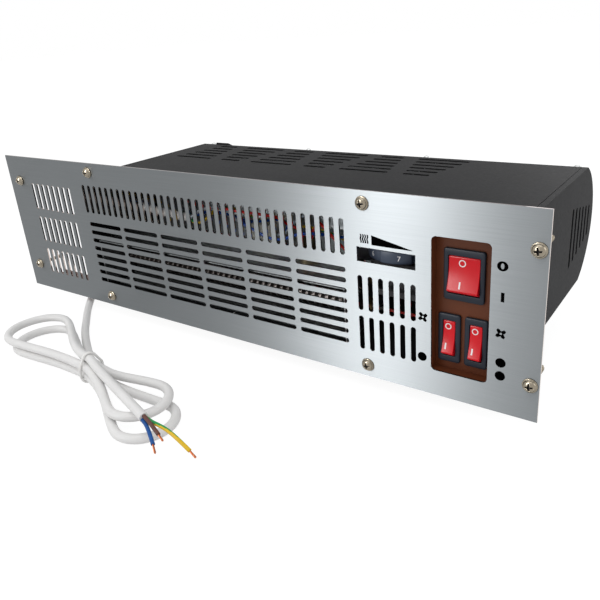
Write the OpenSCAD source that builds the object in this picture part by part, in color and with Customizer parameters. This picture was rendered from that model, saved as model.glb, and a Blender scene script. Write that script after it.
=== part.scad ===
// Plinth heater: a fan heater built in behind a kitchen plinth.
// Millimetres. X runs along the fascia, Y back into the plinth, Z up.
// The origin is the middle of the fascia's rear face, which bears on the plinth.

/* [Fascia] */
// Length of the fascia
fascia_w = 500; // [490:1:560]
// Height of the fascia
fascia_h = 130; // [128:1:150]
// Thickness of the fascia sheet
fascia_t = 1.2; // [0.8:0.1:2]
// Width of a grille slot
slot_w = 3.6; // [2.5:0.1:4]
// Pitch of the slots in the upright blocks
slot_pitch = 7.45; // [7.2:0.05:7.6]
// Length of a slot in the wide outlet block
outlet_slot_l = 40.5; // [30:0.5:41]
// Corner radius of the switch window
window_r = 3; // [1:0.5:5]

/* [Body] */
// Length over the two end caps
body_l = 380; // [376:1:392]
// Distance from the body's right end to the fascia's right end
body_inset = 17.5; // [16:0.5:21]
// Height of the body behind the fascia
body_h = 88; // [86:0.5:90]
// Height of the body's mid-plane above the fascia's middle
body_mid = 7; // [6:0.5:8]
// Distance from the fascia to the centre of the round back
back_y = 139.5; // [136:0.5:150]
// How far the round back's radius goes past half the body's height
back_over = 4; // [3:0.1:8]
// Thickness of the cover and shell sheet
sheet_t = 0.8; // [0.6:0.1:1]
// Thickness of the end caps
cap_t = 1; // [0.8:0.1:1.2]
// Width of a slot in the cover and the caps
vent_w = 4; // [3:0.2:5]

/* [Fan] */
// Radius of the impeller over its blades
fan_r = 30; // [26:0.5:32]
// Number of blades
blades = 24; // [16:1:30]
// Radial depth of a blade
blade_d = 7; // [5:0.5:8]
// Thickness of a blade
blade_t = 0.9; // [0.7:0.1:1.2]
// Number of impeller sections between discs
fan_sections = 5; // [3:1:6]
// Diameter of the shaft and of the impeller's pin
shaft_d = 5; // [4:0.5:6]
// Diameter of the motor's rotor
rotor_d = 26; // [22:1:28]
// Thickness of the laminated core
core_t = 20; // [16:1:24]

/* [Heating] */
// Diameter of an element's sheath
element_d = 8; // [6:0.5:9]
// Diameter of its fins
fin_d = 15; // [12:0.5:16]
// Pitch of its fins
fin_pitch = 6; // [5:0.5:12]

/* [Controls] */
// Width of the switch window
window_w = 36.4; // [35.5:0.2:38]
// Height of the switch window
window_h = 89.2; // [88:0.2:90]
// Depth of the switch tray behind the fascia
tray_depth = 7; // [6.6:0.2:8]
// Width of the wide switch's bezel
main_w = 25.6; // [24:0.2:28]
// Width of a narrow switch's bezel
small_w = 14.4; // [13:0.2:15]
// Height of every bezel
bezel_h = 33; // [31:0.5:34]
// Height of every rocker's face
rocker_h = 21.2; // [20:0.2:21.6]
// Rocking angle between off and on
rock_angle = 20; // [12:1:22]
// Radius of the thermostat's thumbwheel
wheel_r = 24; // [22:0.5:25]
// Thickness of the thumbwheel
wheel_t = 8.5; // [6:0.5:9]

/* [Mains lead] */
// Diameter of the three-core lead
cord_d = 6.5; // [6:0.1:6.8]
// Diameter of a core
core_d = 2.5; // [2:0.1:2.8]

/* [Hidden] */
$fn = 48;

// Running and seating gaps
clear = 0.3;      // between pieces that move past each other
seat = 0.15;      // between pieces that are fixed together
inf = 400;        // longer than anything on the heater

// --- places on the fascia, from its middle
left = -fascia_w / 2;
fix_x = [left + 15.5, fascia_w / 2 - 5.5];
fix_z = [42, -41];
screw_d = 4;
screw_gap = 0.3;
head_d = 9.4;
head_t = 3;

// --- body
body_x1 = fascia_w / 2 - body_inset;
body_x0 = body_x1 - body_l;
body_top = body_mid + body_h / 2;
body_bot = body_mid - body_h / 2;
back_r = body_h / 2 + back_over;
chin_z = -48.9;
chin_y = [14, 62];
rim_w = 4;
rim_gap = 0.4;
lip_w = 12;
front_gap = 0.1;
flange_z = fascia_h / 2 - 2;       // the cover's front flange ends just inside the fascia's edge
fold_a = acos(body_h / 2 / back_r);
cover_end = 38;
lap_a = [fold_a + 3.5, 42];
screw_a = 30;
cover_screw_x = [for (k = [0:3]) mix(body_x0 + 8.5, body_x1 - 8.5, k / 3)];
tab = [16, 2];
cover_x = [body_x0 + rim_w + rim_gap, body_x1 - rim_w - rim_gap];
tab_x = cover_x[0] + 11;
tab_end = 34;
rail_x = [left + 36, fascia_w / 2 - 36];
rail_t = 1;
rail_leg = 12;
rail_low = 2 - fascia_h / 2;
rail_screw_y = 7.5;

// vents: groups of slots in the cover, from the back row forward
vent_rows = 6;
vent_y = 150.8;
vent_pitch = 10.1;
vent_x = body_x0 + 40.9;
vent_step = 46.05;
vent_groups = floor((body_l - 90) / vent_step);
vent_long = 44;
vent_short = 21.5;
cap_slots = 6;
cap_slot_y = 124.2;
cap_slot_pitch = 9.85;
cap_slot_l = [44.2, 24.6];

// --- switch window and tray, from the body's right end
tray_t = 0.8;
tray_gap = 0.2;
tray_in = [window_w / 2 + tray_gap, window_h / 2 + tray_gap];
flange_w = 7;
tray_x = body_x1 - rim_w - 2.4 - flange_w - tray_in[0];
tray_z = -2.5;
tray_top = body_top - sheet_t - 1.9;

// --- thumbwheel window, beside the tray
dial_x = tray_x - tray_in[0] - 30.5;
dial_z = 23.4;
dial_win = [41, 9.8];

// --- duct and fan
duct_x = [body_x0 + 11.5, dial_x - 34.3];
duct_l = duct_x[1] - duct_x[0];
plate_t = 1;
plate_inset = sheet_t + cap_t + 0.4;
plate_y0 = 2;
plate_cut = 78;         // in front of this the plates stop at the duct's roof
roof_z = -5;
roof_bend = 6;
roof_lip_z = 20;
roof_y = 105;
guide_t = 0.8;
guide_shift = -2;
guide_r = back_r - sheet_t - clear - guide_t - 5.4;
guide_a = 40;
guide_y0 = 10.5;        // its front edge, behind the rail's screws
fan_gap = [2.5, 3];
rail_screw_x = [for (t = [0, 0.5, 1]) mix(duct_x[0] + 26, duct_x[1] + 12.5, t)];

// --- grilles and trim screws, over the duct and beside it
trim_x = [duct_x[0] + 6, dial_x - 15.3];
trim_z = [(body_top + flange_z) / 2, (chin_z + rail_low) / 2];
// slot blocks: [first x, first z from the middle, columns, rows, x pitch, z pitch, slot length]
top_block = [duct_x[0] - 4.2, 33.3, floor((duct_l + 15) / slot_pitch), 1, slot_pitch, 0, 24.6];
left_x = left + 34.5;
left_pitch = 7.6;
left_cols = floor((top_block[0] - left_x) / left_pitch) - 1;
left_block = [left_x, 28.7, left_cols, 3, left_pitch, -31.7, 24.6];
right_block = [dial_x - 19, -3.5, 6, 2, 7.55, -28.9, 24.7];
outlet_x = duct_x[0] + 15.5;
outlet_pitch = outlet_slot_l + 4;
outlet_cols = floor((duct_l + 14) / outlet_pitch);
outlet_rows = 8;
outlet_z = 10.8;
outlet_step = 7.43;

// --- impeller and its bearing
fan_x0 = duct_x[0] + fan_gap[0];
fan_x1 = duct_x[1] - fan_gap[1];
disc_t = 1.2;
hub_d = 16;
hub_l = 8;
pin_x = duct_x[0] - plate_t - 5;
bush_d = 18;
bush_hole = 14;
bush_t = [2, plate_t + 2 * seat, 2];
bearing_d = 9;

// --- motor, measured from the shaft
core_x = duct_x[1] + plate_t + 15.5;
core_box = [[-54, -27], [25, 27]];
core_window = [[-40, -13], [-17, 13]];
coil_wall = 4.6;
coil_h = 25;
bridge_off = 6;
bridge_t = 1.6;
bridge_w = 16;
motor_bearing_d = 10;
pillar_y = -27;
pillar_z = [-20, 20];
spacer_d = 8;
motor_screw_d = 3.8;
shaft_x1 = core_x + core_t + bridge_off + 9;

// --- elements: [y, z]
element_at = [[52, -14.8], [34, -30.5]];
fin_t = 0.5;
element_over = 5;
pin_l = 7;              // the connecting pin at the motor's end
nut_t = 3.8;
nut_af = 13;
cutout_at = [duct_x[1] - 57.5, 45];

// --- switches
switch_z = [17.1, -25.8];
pair_x = tray_x - 0.4;             // middle of the pair of narrow switches
pair_half = small_w / 2 + 1.4;
switch_x = [tray_x - 0.2, pair_x - pair_half, pair_x + pair_half];
bezel_t = 2;
housing_l = 16;
housing_h = 29.6;
bezel_r = 1.6;
bezel_edge = 0.6;       // chamfer round the bezel's face
frame_main = 3.2;       // bezel left beside the wide rocker
frame_small = 3.4;      // bezel left beside a narrow rocker
housing_wall = 0.4;     // plastic outside a trunnion's bore
pivot_back = 5;
trunnion_d = 3;
trunnion_l = 0.5;
rocker_face = 5.2;
rocker_dish = 1.4;
rocker_back = 3;
rocker_end = norm([rocker_face + rocker_dish, rocker_h / 2]);  // radius of its ends about the pivot
rocker_edge = atan2(rocker_h / 2, rocker_face + rocker_dish);
lip = 1.2;              // the bezel is narrower over this depth
lip_half = rocker_end * sin(acos((pivot_back - lip) / rocker_end)) + clear;
pivot_y = tray_depth - bezel_t + pivot_back;
function bezel_w(i) = i == 0 ? main_w : small_w;
function rocker_w(i) = i == 0 ? main_w - 2 * frame_main : small_w - 2 * frame_small;
function housing_w(i) = rocker_w(i) + 2 * (clear + trunnion_l + clear + housing_wall);
function switch_row(i) = switch_z[i == 0 ? 0 : 1];
function tag_z(i) = i == 0 ? [-10, 0, 10] : [-9, 0, 9];

// --- thermostat
spindle_hole = 10;
bracket_y = [8, 48];
bracket_hole_y = 18;
bracket_hole_z = [-30, -12];
wheel_y = wheel_r - 0.3;
raised = [-110, -59];   // the sector of the rim that stands out, as angles from +X
shelf_z = 16;
bracket_t = 1;
spindle_d = 6;
stat = [34, 26, 24];

// --- terminal block
block = [20, 32, 15];
block_at = [duct_x[0] + 130, 57];
pole_pitch = 10;
block_x = [block_at[0], block_at[0] + block[0]];
earth_at = [duct_x[1] - 11.5, 40];

// --- wires
wire_d = 2.2;
pole_z = roof_z + 6;
pole_in = block_x[0] + 1.5;
pole_out = block_x[1] - 1.5;
function pole_y(p) = block_at[1] + 6 + p * pole_pitch;
tag_y = tray_depth + housing_l + 8;

// --- lead: the floor is 10 below the fascia
floor_z = -fascia_h / 2 - 10;
cord_r = cord_d / 2;
lie = floor_z + cord_r + 0.05;
grip_at = [60, 15];
grip_l = 26;
grip_d = [14, 9.5];
grip_hole = 12;
// inside the body the lead runs on close behind the upper grille, to where its jacket is stripped
tail = [for (p = [[3.5, 60, 15], [9.5, 60, 15], [17, 58, 15.4], [26, 51, 17.2], [36.5, 38, 21.5],
  [48, 25, 25.5], [61, 16, 27.8], [76, 11.5, 28.4], [92, 10, 27.6], [106, 10.4, 26.4], [117.5, 13, 24.6]])
  p + [body_x0, 0, 0]];

// The lead's free run, from the grip to the hank, chosen by hand; first what hangs, from the cap
hang = [[0, 60, 15], [-5.9, 60, 15], [-14.2, 59.6, 13.7], [-21.9, 58.6, 9.8], [-28, 57.1, 3.2],
  [-31.8, 55.4, -5.6], [-33.4, 53.6, -16.4], [-33.1, 51.3, -29], [-31.4, 48, -42.5],
  [-27.9, 42, -55.2], [-21.9, 33, -65.3], [-14.4, 21.5, lie - 0.4]];
lead_route = concat([for (p = hang) p + [body_x0 - grip_l - 0.1, 0, 0]],
  [[-178, 9, lie], [-166, -3, lie], [-152.5, -15.3, lie],
  [-138.3, -27.1, lie], [-124.1, -38.9, lie], [-109.1, -49.8, lie], [-95, -59, lie],
  [-84.8, -65.2, lie], [-74.7, -71.2, lie], [-64.8, -77, lie + 0.4]]);

// --- hank: laps of a long loop, pinched at the waist by the tie
hank_at = [-49, -88];
hank_turn = -12;
hank_gap = 0.6;
step = cord_d + hank_gap;          // from one strand's middle to the next
waist_lift = 2.1;                  // the tie passes under the strands
waist_side = step / 2;             // strands lie side by side at the waist
waist_top = 2 * step - 0.62;      // the last strand rides in the groove on top
// each half lap: [side, reach, end radius, height at its start, height at its end, offset]
laps = [[1, 101, 20, 0, 0, -3], [-1, 112, 22, 0, step, 0],
        [1, 86, 20, step, step, 2], [-1, 124, 24, step, waist_top, 0]];
flare = 13;                        // how far a lap's sides lean outward, in degrees
tie_gap = 0.35;
tie_t = 1.5;
tie_w = 2.4;
tail_end = [98.5, -11, 14];        // where the jacket is stripped back

// === functions ===
function unit(v) = v / norm(v);
function smooth(t) = t <= 0 ? 0 : t >= 1 ? 1 : t * t * (3 - 2 * t);
function mix(a, b, t) = a + (b - a) * t;
function bezier(p, t) = p[0] * pow(1 - t, 3) + p[1] * 3 * t * pow(1 - t, 2)
  + p[2] * 3 * t * t * (1 - t) + p[3] * pow(t, 3);

// A tube's skin along points: rings of n corners, square to the run
function tube_rings(p, r, n, up) = [for (i = [0:len(p) - 1])
  let (t = unit(p[min(i + 1, len(p) - 1)] - p[max(i - 1, 0)]), a = unit(cross(t, up)), b = cross(a, t))
  for (k = [0:n - 1]) let (q = 360 * (k + 0.5) / n) p[i] + r * (cos(q) * a + sin(q) * b)];
function tube_faces(m, n) = concat(
  [for (i = [0:m - 2], k = [0:n - 1]) [i * n + k, (i + 1) * n + k, (i + 1) * n + (k + 1) % n]],
  [for (i = [0:m - 2], k = [0:n - 1]) [i * n + k, (i + 1) * n + (k + 1) % n, i * n + (k + 1) % n]],
  [for (k = [1:n - 2]) [0, k, k + 1]],
  [for (k = [1:n - 2]) [(m - 1) * n, (m - 1) * n + k + 1, (m - 1) * n + k]]);

// Half a lap: out from the waist, round the end and back, as [along, across, height]
function half_lap(side, reach, r, h0, h1, off, w0, w1) =
  let (a = flare, s = sign(w0), cs = reach - r, foot = cs - r * sin(a), wide = r * cos(a),
       k = foot * 0.42, bend = foot - k * cos(a) * 0.8, lean = wide - k * sin(a) * 0.8,
       out = [[0, w0], [k, w0], [bend, off + s * lean], [foot, off + s * wide]],
       back = [[foot, off - s * wide], [bend, off - s * lean], [k, w1], [0, w1]],
       base = min(h0, h1), drop = base >= step - 1 ? 0.05 : 0)
  concat(
    [for (i = [0:6]) let (t = i / 7, q = bezier(out, t))
       [side * q[0], q[1], h0 > step ? mix(h0, step, smooth(t)) : h0]],
    [for (i = [0:10]) let (b = (180 + 2 * a) * i / 10 - 90 - a)
       [side * (cs + r * cos(b)), off - s * r * sin(b), base * (1 - drop * pow(max(0, cos(b)), 4))]],
    [for (i = [1:6]) let (t = i / 7, q = bezier(back, t))
       [side * q[0], q[1], mix(base, h1, smooth(t))]]);

function lap_w(i) = i == 0 ? waist_side : i % 2 == 1 ? -waist_side : waist_side;
hank_local = concat(
  [for (i = [0:3]) let (l = laps[i])
     each half_lap(l[0], l[1], l[2], l[3], l[4], l[5], lap_w(i), i == 3 ? 0.01 : lap_w(i + 1))],
  [for (i = [0:7]) let (t = i / 7)
     [t * tail_end[0], t * tail_end[1], mix(waist_top, tail_end[2], smooth(t))]]);
function hank_lift(p) = p[2] + waist_lift * exp(-pow(p[0] / 14, 2));
function place(p) = [hank_at[0] + cos(hank_turn) * p[0] - sin(hank_turn) * p[1],
  hank_at[1] + sin(hank_turn) * p[0] + cos(hank_turn) * p[1], lie + hank_lift(p)];
hank_points = [for (p = hank_local) place(p)];
hank_len = len(hank_points);
function run_length(p) = [for (i = 0, s = 0; i < len(p);
  s = s + (i + 1 < len(p) ? norm(p[i + 1] - p[i]) : 0), i = i + 1) s];
hank_run = run_length(hank_points);
function seg_gap(a, b, c) = let (d = b - a, t = max(0, min(1, (c - a) * d / (d * d))))
  norm(a + t * d - c);
hank_least = min([for (i = [0:hank_len - 2], j = [0:hank_len - 1])
  if (abs(hank_run[i] - hank_run[j]) > 4 * cord_d)
    seg_gap(hank_points[i], hank_points[i + 1], hank_points[j])]) - cord_d;
echo(least_gap_in_hank = hank_least);
echo(lead_length = run_length(lead_route)[len(lead_route) - 1], hank_length = hank_run[hank_len - 1]);

// === shapes that repeat ===
// Turns a (y, z) drawing into a solid that runs along X
module along_x(x0, x1) { translate([x0, 0, 0]) rotate([90, 0, 90]) linear_extrude(x1 - x0) children(); }
// Turns an (x, z) drawing into a plate that runs back from y0 to y1
module along_y(y0, y1) { translate([0, y1, 0]) rotate([90, 0, 0]) linear_extrude(y1 - y0) children(); }
module rod_x(x0, x1, d) { translate([x0, 0, 0]) rotate([0, 90, 0]) cylinder(h = x1 - x0, d = d); }
module rod_y(y0, y1, d) { translate([0, y0, 0]) rotate([-90, 0, 0]) cylinder(h = y1 - y0, d = d); }
module box(lo, hi) { translate(lo) cube(hi - lo); }
module rect_2d(r) { translate(r[0]) square(r[1] - r[0]); }
// A rectangle with round corners, centred
module round_2d(size, r) {
  hull() for (x = [-1, 1], z = [-1, 1])
    translate([x * (size[0] / 2 - r), z * (size[1] / 2 - r)]) circle(r, $fn = 24);
}
// A slot with round ends, centred, l long over its ends along the first or second axis
module slot_2d(l, w, upright) {
  rotate(upright ? 90 : 0) {
    square([l - w, w], center = true);
    for (s = [-1, 1]) translate([s * (l - w) / 2, 0]) circle(d = w, $fn = 24);
  }
}
// The body's outline in (y, z), drawn in by inset, its front edge at y0
module body_2d(inset, y0 = 0) {
  end = back_y + back_r;
  intersection() {
    union() {
      translate([back_y, body_mid]) circle(back_r - inset, $fn = 96);
      translate([y0, chin_z]) square([back_y - y0, body_top - chin_z]);
    }
    polygon([[y0, body_top - inset], [end, body_top - inset], [end, body_bot + inset],
      [chin_y[1], body_bot + inset], [chin_y[0], chin_z + inset], [y0, chin_z + inset]]);
  }
}
module shell_2d(outer, inner) {
  difference() {
    body_2d(outer, front_gap);
    body_2d(inner, -5);
  }
}
// A wedge of the round back between two angles from straight up
module wedge_2d(a0, a1) {
  translate([back_y, body_mid])
    polygon(concat([[0, 0]], [for (i = [0:4]) let (a = mix(a0, a1, i / 4)) inf / 2 * [sin(a), cos(a)]]));
}
// Places something on the round back at an angle from straight up, its Z pointing out
module on_back(x, a, out) {
  translate([x, back_y, body_mid]) rotate([-a, 0, 0]) translate([0, 0, back_r + out]) children();
}
// Pan head and shank along -Z, with a cross recess and, under the head, a neck of the stated length
module screw(head, thick, shank, length, neck = 0) {
  r = shank / 2;
  difference() {
    rotate_extrude() polygon(concat([[0, -length], [r - 0.4, -length], [r, -length + 1]],
      neck > 0 ? [[r, -neck], [r - 0.2, -neck], [r - 0.2, 0]] : [[r, 0]],
      [[head / 2, 0], [head / 2, thick * 0.3], [head / 2 * 0.86, thick * 0.68],
      [head / 2 * 0.55, thick * 0.92], [0, thick]]));
    for (a = [0, 90]) rotate(a) translate([-head * 0.24, -head * 0.06, thick * 0.45])
      cube([head * 0.48, head * 0.12, thick]);
  }
}
module nut(af, t, bore) {
  difference() {
    cylinder(d = af / cos(30), h = t, $fn = 6);
    translate([0, 0, -1]) cylinder(d = bore, h = t + 2);
  }
}
module tube(points, d, sides, up) {
  polyhedron(tube_rings(points, d / 2, sides, up), tube_faces(len(points), sides), convexity = 6);
}

// === fascia and its fixings ===
module slot_block(b) {
  for (c = [0:b[2] - 1], r = [0:b[3] - 1])
    translate([b[0] + c * b[4], b[1] + r * b[5]]) slot_2d(b[6], slot_w, true);
}
module fascia() {
  color("silver") along_y(-fascia_t, 0) difference() {
    square([fascia_w, fascia_h], center = true);
    slot_block(left_block);
    slot_block(top_block);
    slot_block(right_block);
    for (c = [0:outlet_cols - 1], r = [0:outlet_rows - 1])
      translate([outlet_x + c * outlet_pitch, outlet_z - r * outlet_step])
        slot_2d(outlet_slot_l, slot_w, false);
    translate([dial_x, dial_z]) square(dial_win, center = true);
    translate([tray_x, tray_z]) window_2d();
    for (x = fix_x, z = fix_z) translate([x, z]) circle(d = screw_d + screw_gap);
    for (x = trim_x, z = trim_z) translate([x, z]) circle(d = screw_d + screw_gap);
  }
}
module window_2d() {
  square([window_w - 2 * window_r, window_h], center = true);
  square([window_w, window_h - 2 * window_r], center = true);
  for (x = [-1, 1], z = [-1, 1])
    translate([x * (window_w / 2 - window_r), z * (window_h / 2 - window_r)]) circle(window_r);
}
module fixing_screws() {
  color("khaki") for (x = fix_x, z = fix_z)
    translate([x, -fascia_t, z]) rotate([90, 0, 0]) screw(head_d, head_t, screw_d, 26, fascia_t);
}
module fascia_screws() {
  color("khaki") for (x = trim_x, z = trim_z)
    translate([x, -fascia_t, z]) rotate([90, 0, 0]) screw(head_d, head_t, screw_d, 9);
}

// === sheet-metal body ===
module lower_rail() {
  color("saddlebrown") difference() {
    along_x(rail_x[0], rail_x[1]) {
      translate([front_gap, rail_low]) square([rail_t, chin_z - 0.1 - rail_low]);
      translate([front_gap, chin_z - 0.1 - rail_t]) square([rail_leg, rail_t]);
    }
    for (x = trim_x) translate([x, 0, trim_z[1]]) rod_y(-1, 3, screw_d + screw_gap);
    for (x = rail_screw_x) translate([x, rail_screw_y, chin_z - 3]) cylinder(d = 3.3, h = 4);
    // the leg's ends are cut back at an angle
    for (e = [0, 1]) translate([rail_x[e], 0, chin_z]) rotate(e == 0 ? 25 : -25)
      translate([-5, 0, -3]) cube([10, 40, 4]);
  }
}
module rail_screws() {
  color("silver") for (x = rail_screw_x)
    translate([x, rail_screw_y, chin_z - 0.1 - rail_t]) rotate([180, 0, 0]) screw(6, 2, 3, 3.2);
}
module cover_vents() {
  for (g = [0:vent_groups - 1], r = [0:vent_rows - 1])
    let (k = (g % 2 == 0) ? r : vent_rows - 1 - r, l = mix(vent_short, vent_long, k / (vent_rows - 1)))
      translate([vent_x + g * vent_step, vent_y - r * vent_pitch, body_top - 5])
        linear_extrude(10) slot_2d(l, vent_w, false);
}
module top_cover() {
  color("dimgray") difference() {
    union() {
      along_x(cover_x[0], cover_x[1]) intersection() {
        shell_2d(0, sheet_t);
        union() {
          translate([-1, body_mid + 10]) square([back_y + 1, inf]);
          wedge_2d(0, cover_end);
        }
      }
      along_x(cover_x[0], cover_x[1])
        translate([front_gap, body_top - sheet_t]) square([sheet_t, flange_z - body_top + sheet_t]);
      along_x(tab_x, tab_x + tab[0]) intersection() {
        translate([back_y, body_mid]) circle(back_r + tab[1], $fn = 96);
        difference() {
          wedge_2d(fold_a + 1, tab_end);
          translate([back_y, body_mid]) circle(back_r - sheet_t / 2, $fn = 96);
        }
      }
    }
    cover_vents();
    for (x = trim_x) translate([x, 0, trim_z[0]]) rod_y(-1, 3, screw_d + screw_gap);
    for (x = cover_screw_x) on_back(x, screw_a, -3) cylinder(d = 3.3, h = 5);
  }
}
module back_shell() {
  lap = sheet_t + 0.1;
  color("dimgray") difference() {
    union() {
      along_x(cover_x[0], cover_x[1]) intersection() {
        shell_2d(0, sheet_t);
        union() {
          translate([-1, chin_z - 1]) square([back_y + 1, body_mid - 20 - chin_z]);
          wedge_2d(cover_end + 0.8, 100);
          wedge_2d(100, 181);
        }
      }
      along_x(body_x0 + rim_w + lip_w + 1.5, body_x1 - rim_w - lip_w - 1.5) {
        intersection() { shell_2d(lap, lap + sheet_t); wedge_2d(lap_a[0], lap_a[1]); }
        intersection() { shell_2d(0, lap + sheet_t); wedge_2d(cover_end + 0.8, lap_a[1]); }
      }
    }
    for (x = [cover_screw_x[1], cover_screw_x[2]]) on_back(x, screw_a, -5) cylinder(d = 3.3, h = 7);
    for (x = rail_screw_x) translate([x, rail_screw_y, chin_z - 2]) cylinder(d = 3.3, h = 4);
  }
}
// An end cap: face, rim, and a lip that slides inside the cover and shell. side is 1 on the right
module end_cap(side) {
  face = side > 0 ? body_x1 : body_x0;
  inset = sheet_t + 0.2;
  function span(a, b) = side > 0 ? [face - b, face - a] : [face + a, face + b];
  f = span(0, cap_t);
  r = span(0, rim_w);
  s = span(rim_w - cap_t, rim_w);
  l = span(rim_w - cap_t, rim_w + lip_w);
  difference() {
    union() {
      along_x(f[0], f[1]) body_2d(0, front_gap);
      along_x(r[0], r[1]) shell_2d(0, cap_t);
      along_x(s[0], s[1]) shell_2d(0, inset + cap_t);
      along_x(l[0], l[1]) shell_2d(inset, inset + cap_t);
    }
    for (k = [0:cap_slots - 1])
      translate([0, cap_slot_y + k * cap_slot_pitch, body_mid])
        along_x(face - 3, face + 3)
          slot_2d(mix(cap_slot_l[0], cap_slot_l[1], k / (cap_slots - 1)), vent_w, true);
    on_back(cover_screw_x[side > 0 ? 3 : 0], screw_a, -5) cylinder(d = 3.3, h = 7);
    // room for the switch tray's lower edge
    box([tray_x, -1, chin_z - 2],
      [tray_x + tray_in[0] + flange_w + clear, tray_depth + tray_t + clear, chin_z + 5]);
  }
}
module end_cap_left() {
  color("dimgray") difference() {
    end_cap(-1);
    translate([0, grip_at[0], grip_at[1]]) rod_x(body_x0 - 2, body_x0 + 5, grip_hole);
  }
}
module end_cap_right() { color("dimgray") end_cap(1); }
module cover_screws() {
  color("gainsboro") for (x = cover_screw_x) on_back(x, screw_a, 0) screw(7, 2.8, 3, 4);
}

// === duct and fan ===
module duct_plate_2d() {
  difference() {
    body_2d(plate_inset, plate_y0);
    translate([-1, roof_z]) square([plate_cut + 1, inf]);
    translate([back_y, body_mid]) circle(d = bush_hole);
    for (e = element_at) translate(e) circle(d = element_d + 2 * seat);
  }
}
module duct_plate_left() {
  color("lightgray") along_x(duct_x[0] - plate_t, duct_x[0]) duct_plate_2d();
}
module duct_plate_right() {
  color("lightgray") difference() {
    along_x(duct_x[1], duct_x[1] + plate_t) duct_plate_2d();
    for (z = pillar_z) translate([0, back_y + pillar_y, body_mid + z])
      rod_x(duct_x[1] - 1, duct_x[1] + 3, motor_screw_d + 2 * seat);
    for (z = bracket_hole_z) translate([0, bracket_hole_y, z])
      rod_x(duct_x[1] - 1, duct_x[1] + 3, 3 + 2 * seat);
  }
}
module air_guide() {
  gy = back_y + guide_shift;
  gz = body_bot + sheet_t + clear + guide_t + guide_r;
  low = body_bot + sheet_t + clear;
  chin = chin_z + sheet_t + clear;
  color("lightgray") along_x(body_x0 + rim_w + lip_w + 0.2, duct_x[1] - 0.1) {
    intersection() {
      translate([gy, gz]) difference() {
        circle(guide_r + guide_t, $fn = 96);
        circle(guide_r, $fn = 96);
      }
      translate([gy, gz])
        polygon([[0, 0], 90 * [sin(guide_a), cos(guide_a)], [90, 0], [90, -90], [0, -90]]);
    }
    polygon([[gy, low], [gy, low + guide_t], [chin_y[1], low + guide_t], [chin_y[0], chin + guide_t],
      [guide_y0, chin + guide_t], [guide_y0, chin], [chin_y[0], chin], [chin_y[1], low]]);
  }
}
module duct_roof() {
  color("lightgray") along_x(duct_x[0] + 0.1, duct_x[1] - 0.1) {
    translate([2.5, roof_z - sheet_t]) square([roof_y - roof_bend - 2.5, sheet_t]);
    translate([roof_y - sheet_t, roof_z + roof_bend - sheet_t])
      square([sheet_t, roof_lip_z - roof_z - roof_bend + sheet_t]);
    intersection() {
      translate([roof_y - roof_bend, roof_z - sheet_t + roof_bend]) difference() {
        circle(roof_bend);
        circle(roof_bend - sheet_t);
      }
      translate([roof_y - roof_bend, roof_z - sheet_t]) square([roof_bend, roof_bend]);
    }
  }
}
module on_shaft() { translate([0, back_y, body_mid]) children(); }
// One forward-curved blade, drawn round the shaft
module blade_2d() {
  bow = blade_d * 1.05;
  intersection() {
    difference() { circle(fan_r - 0.3, $fn = 96); circle(fan_r - blade_d, $fn = 96); }
    translate([bow * 0.8, fan_r - blade_d / 2 - 1]) difference() {
      circle(bow, $fn = 64);
      circle(bow - blade_t, $fn = 64);
    }
    translate([-4, fan_r - blade_d - 1]) square([6, blade_d + 2]);
  }
}
module impeller() {
  section = (fan_x1 - fan_x0 - disc_t) / fan_sections;
  color("#303236") on_shaft() {
    difference() {
      union() {
        along_x(fan_x0 + disc_t / 2, fan_x1 - disc_t / 2)
          for (i = [0:blades - 1]) rotate(360 * i / blades) blade_2d();
        for (e = [fan_x0, fan_x1 - disc_t]) rod_x(e, e + disc_t, 2 * fan_r);
        for (i = [1:fan_sections - 1]) difference() {
          rod_x(fan_x0 + i * section, fan_x0 + i * section + disc_t, 2 * fan_r);
          rod_x(fan_x0 + i * section - 1, fan_x0 + i * section + disc_t + 1, 2 * (fan_r - blade_d - 1));
        }
        rod_x(fan_x0, fan_x0 + hub_l, hub_d);
        rod_x(fan_x1 - hub_l, fan_x1, hub_d);
      }
      rod_x(fan_x0 - 1, fan_x0 + hub_l + 1, shaft_d);
      rod_x(fan_x1 - hub_l - 1, fan_x1 + 1, shaft_d);
    }
  }
}
module impeller_pin() { color("silver") on_shaft() rod_x(pin_x, fan_x0 + hub_l, shaft_d); }
module impeller_bush() {
  x = duct_x[0] - plate_t - seat;
  color("#202020") on_shaft() difference() {
    union() {
      rod_x(x - bush_t[0], x, bush_d);
      rod_x(x - 0.5, x + bush_t[1] + 0.5, bush_hole - 2 * seat);
      rod_x(x + bush_t[1], x + bush_t[1] + bush_t[2] - 0.6, bush_d);
    }
    rod_x(x - 5, x + 9, bearing_d);
  }
}
module impeller_bearing() {
  x = duct_x[0] - plate_t - seat;
  color("peru") on_shaft() difference() {
    rod_x(x - bush_t[0], x + bush_t[1] + 1, bearing_d);
    rod_x(x - 5, x + 9, shaft_d + clear);
  }
}

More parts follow.
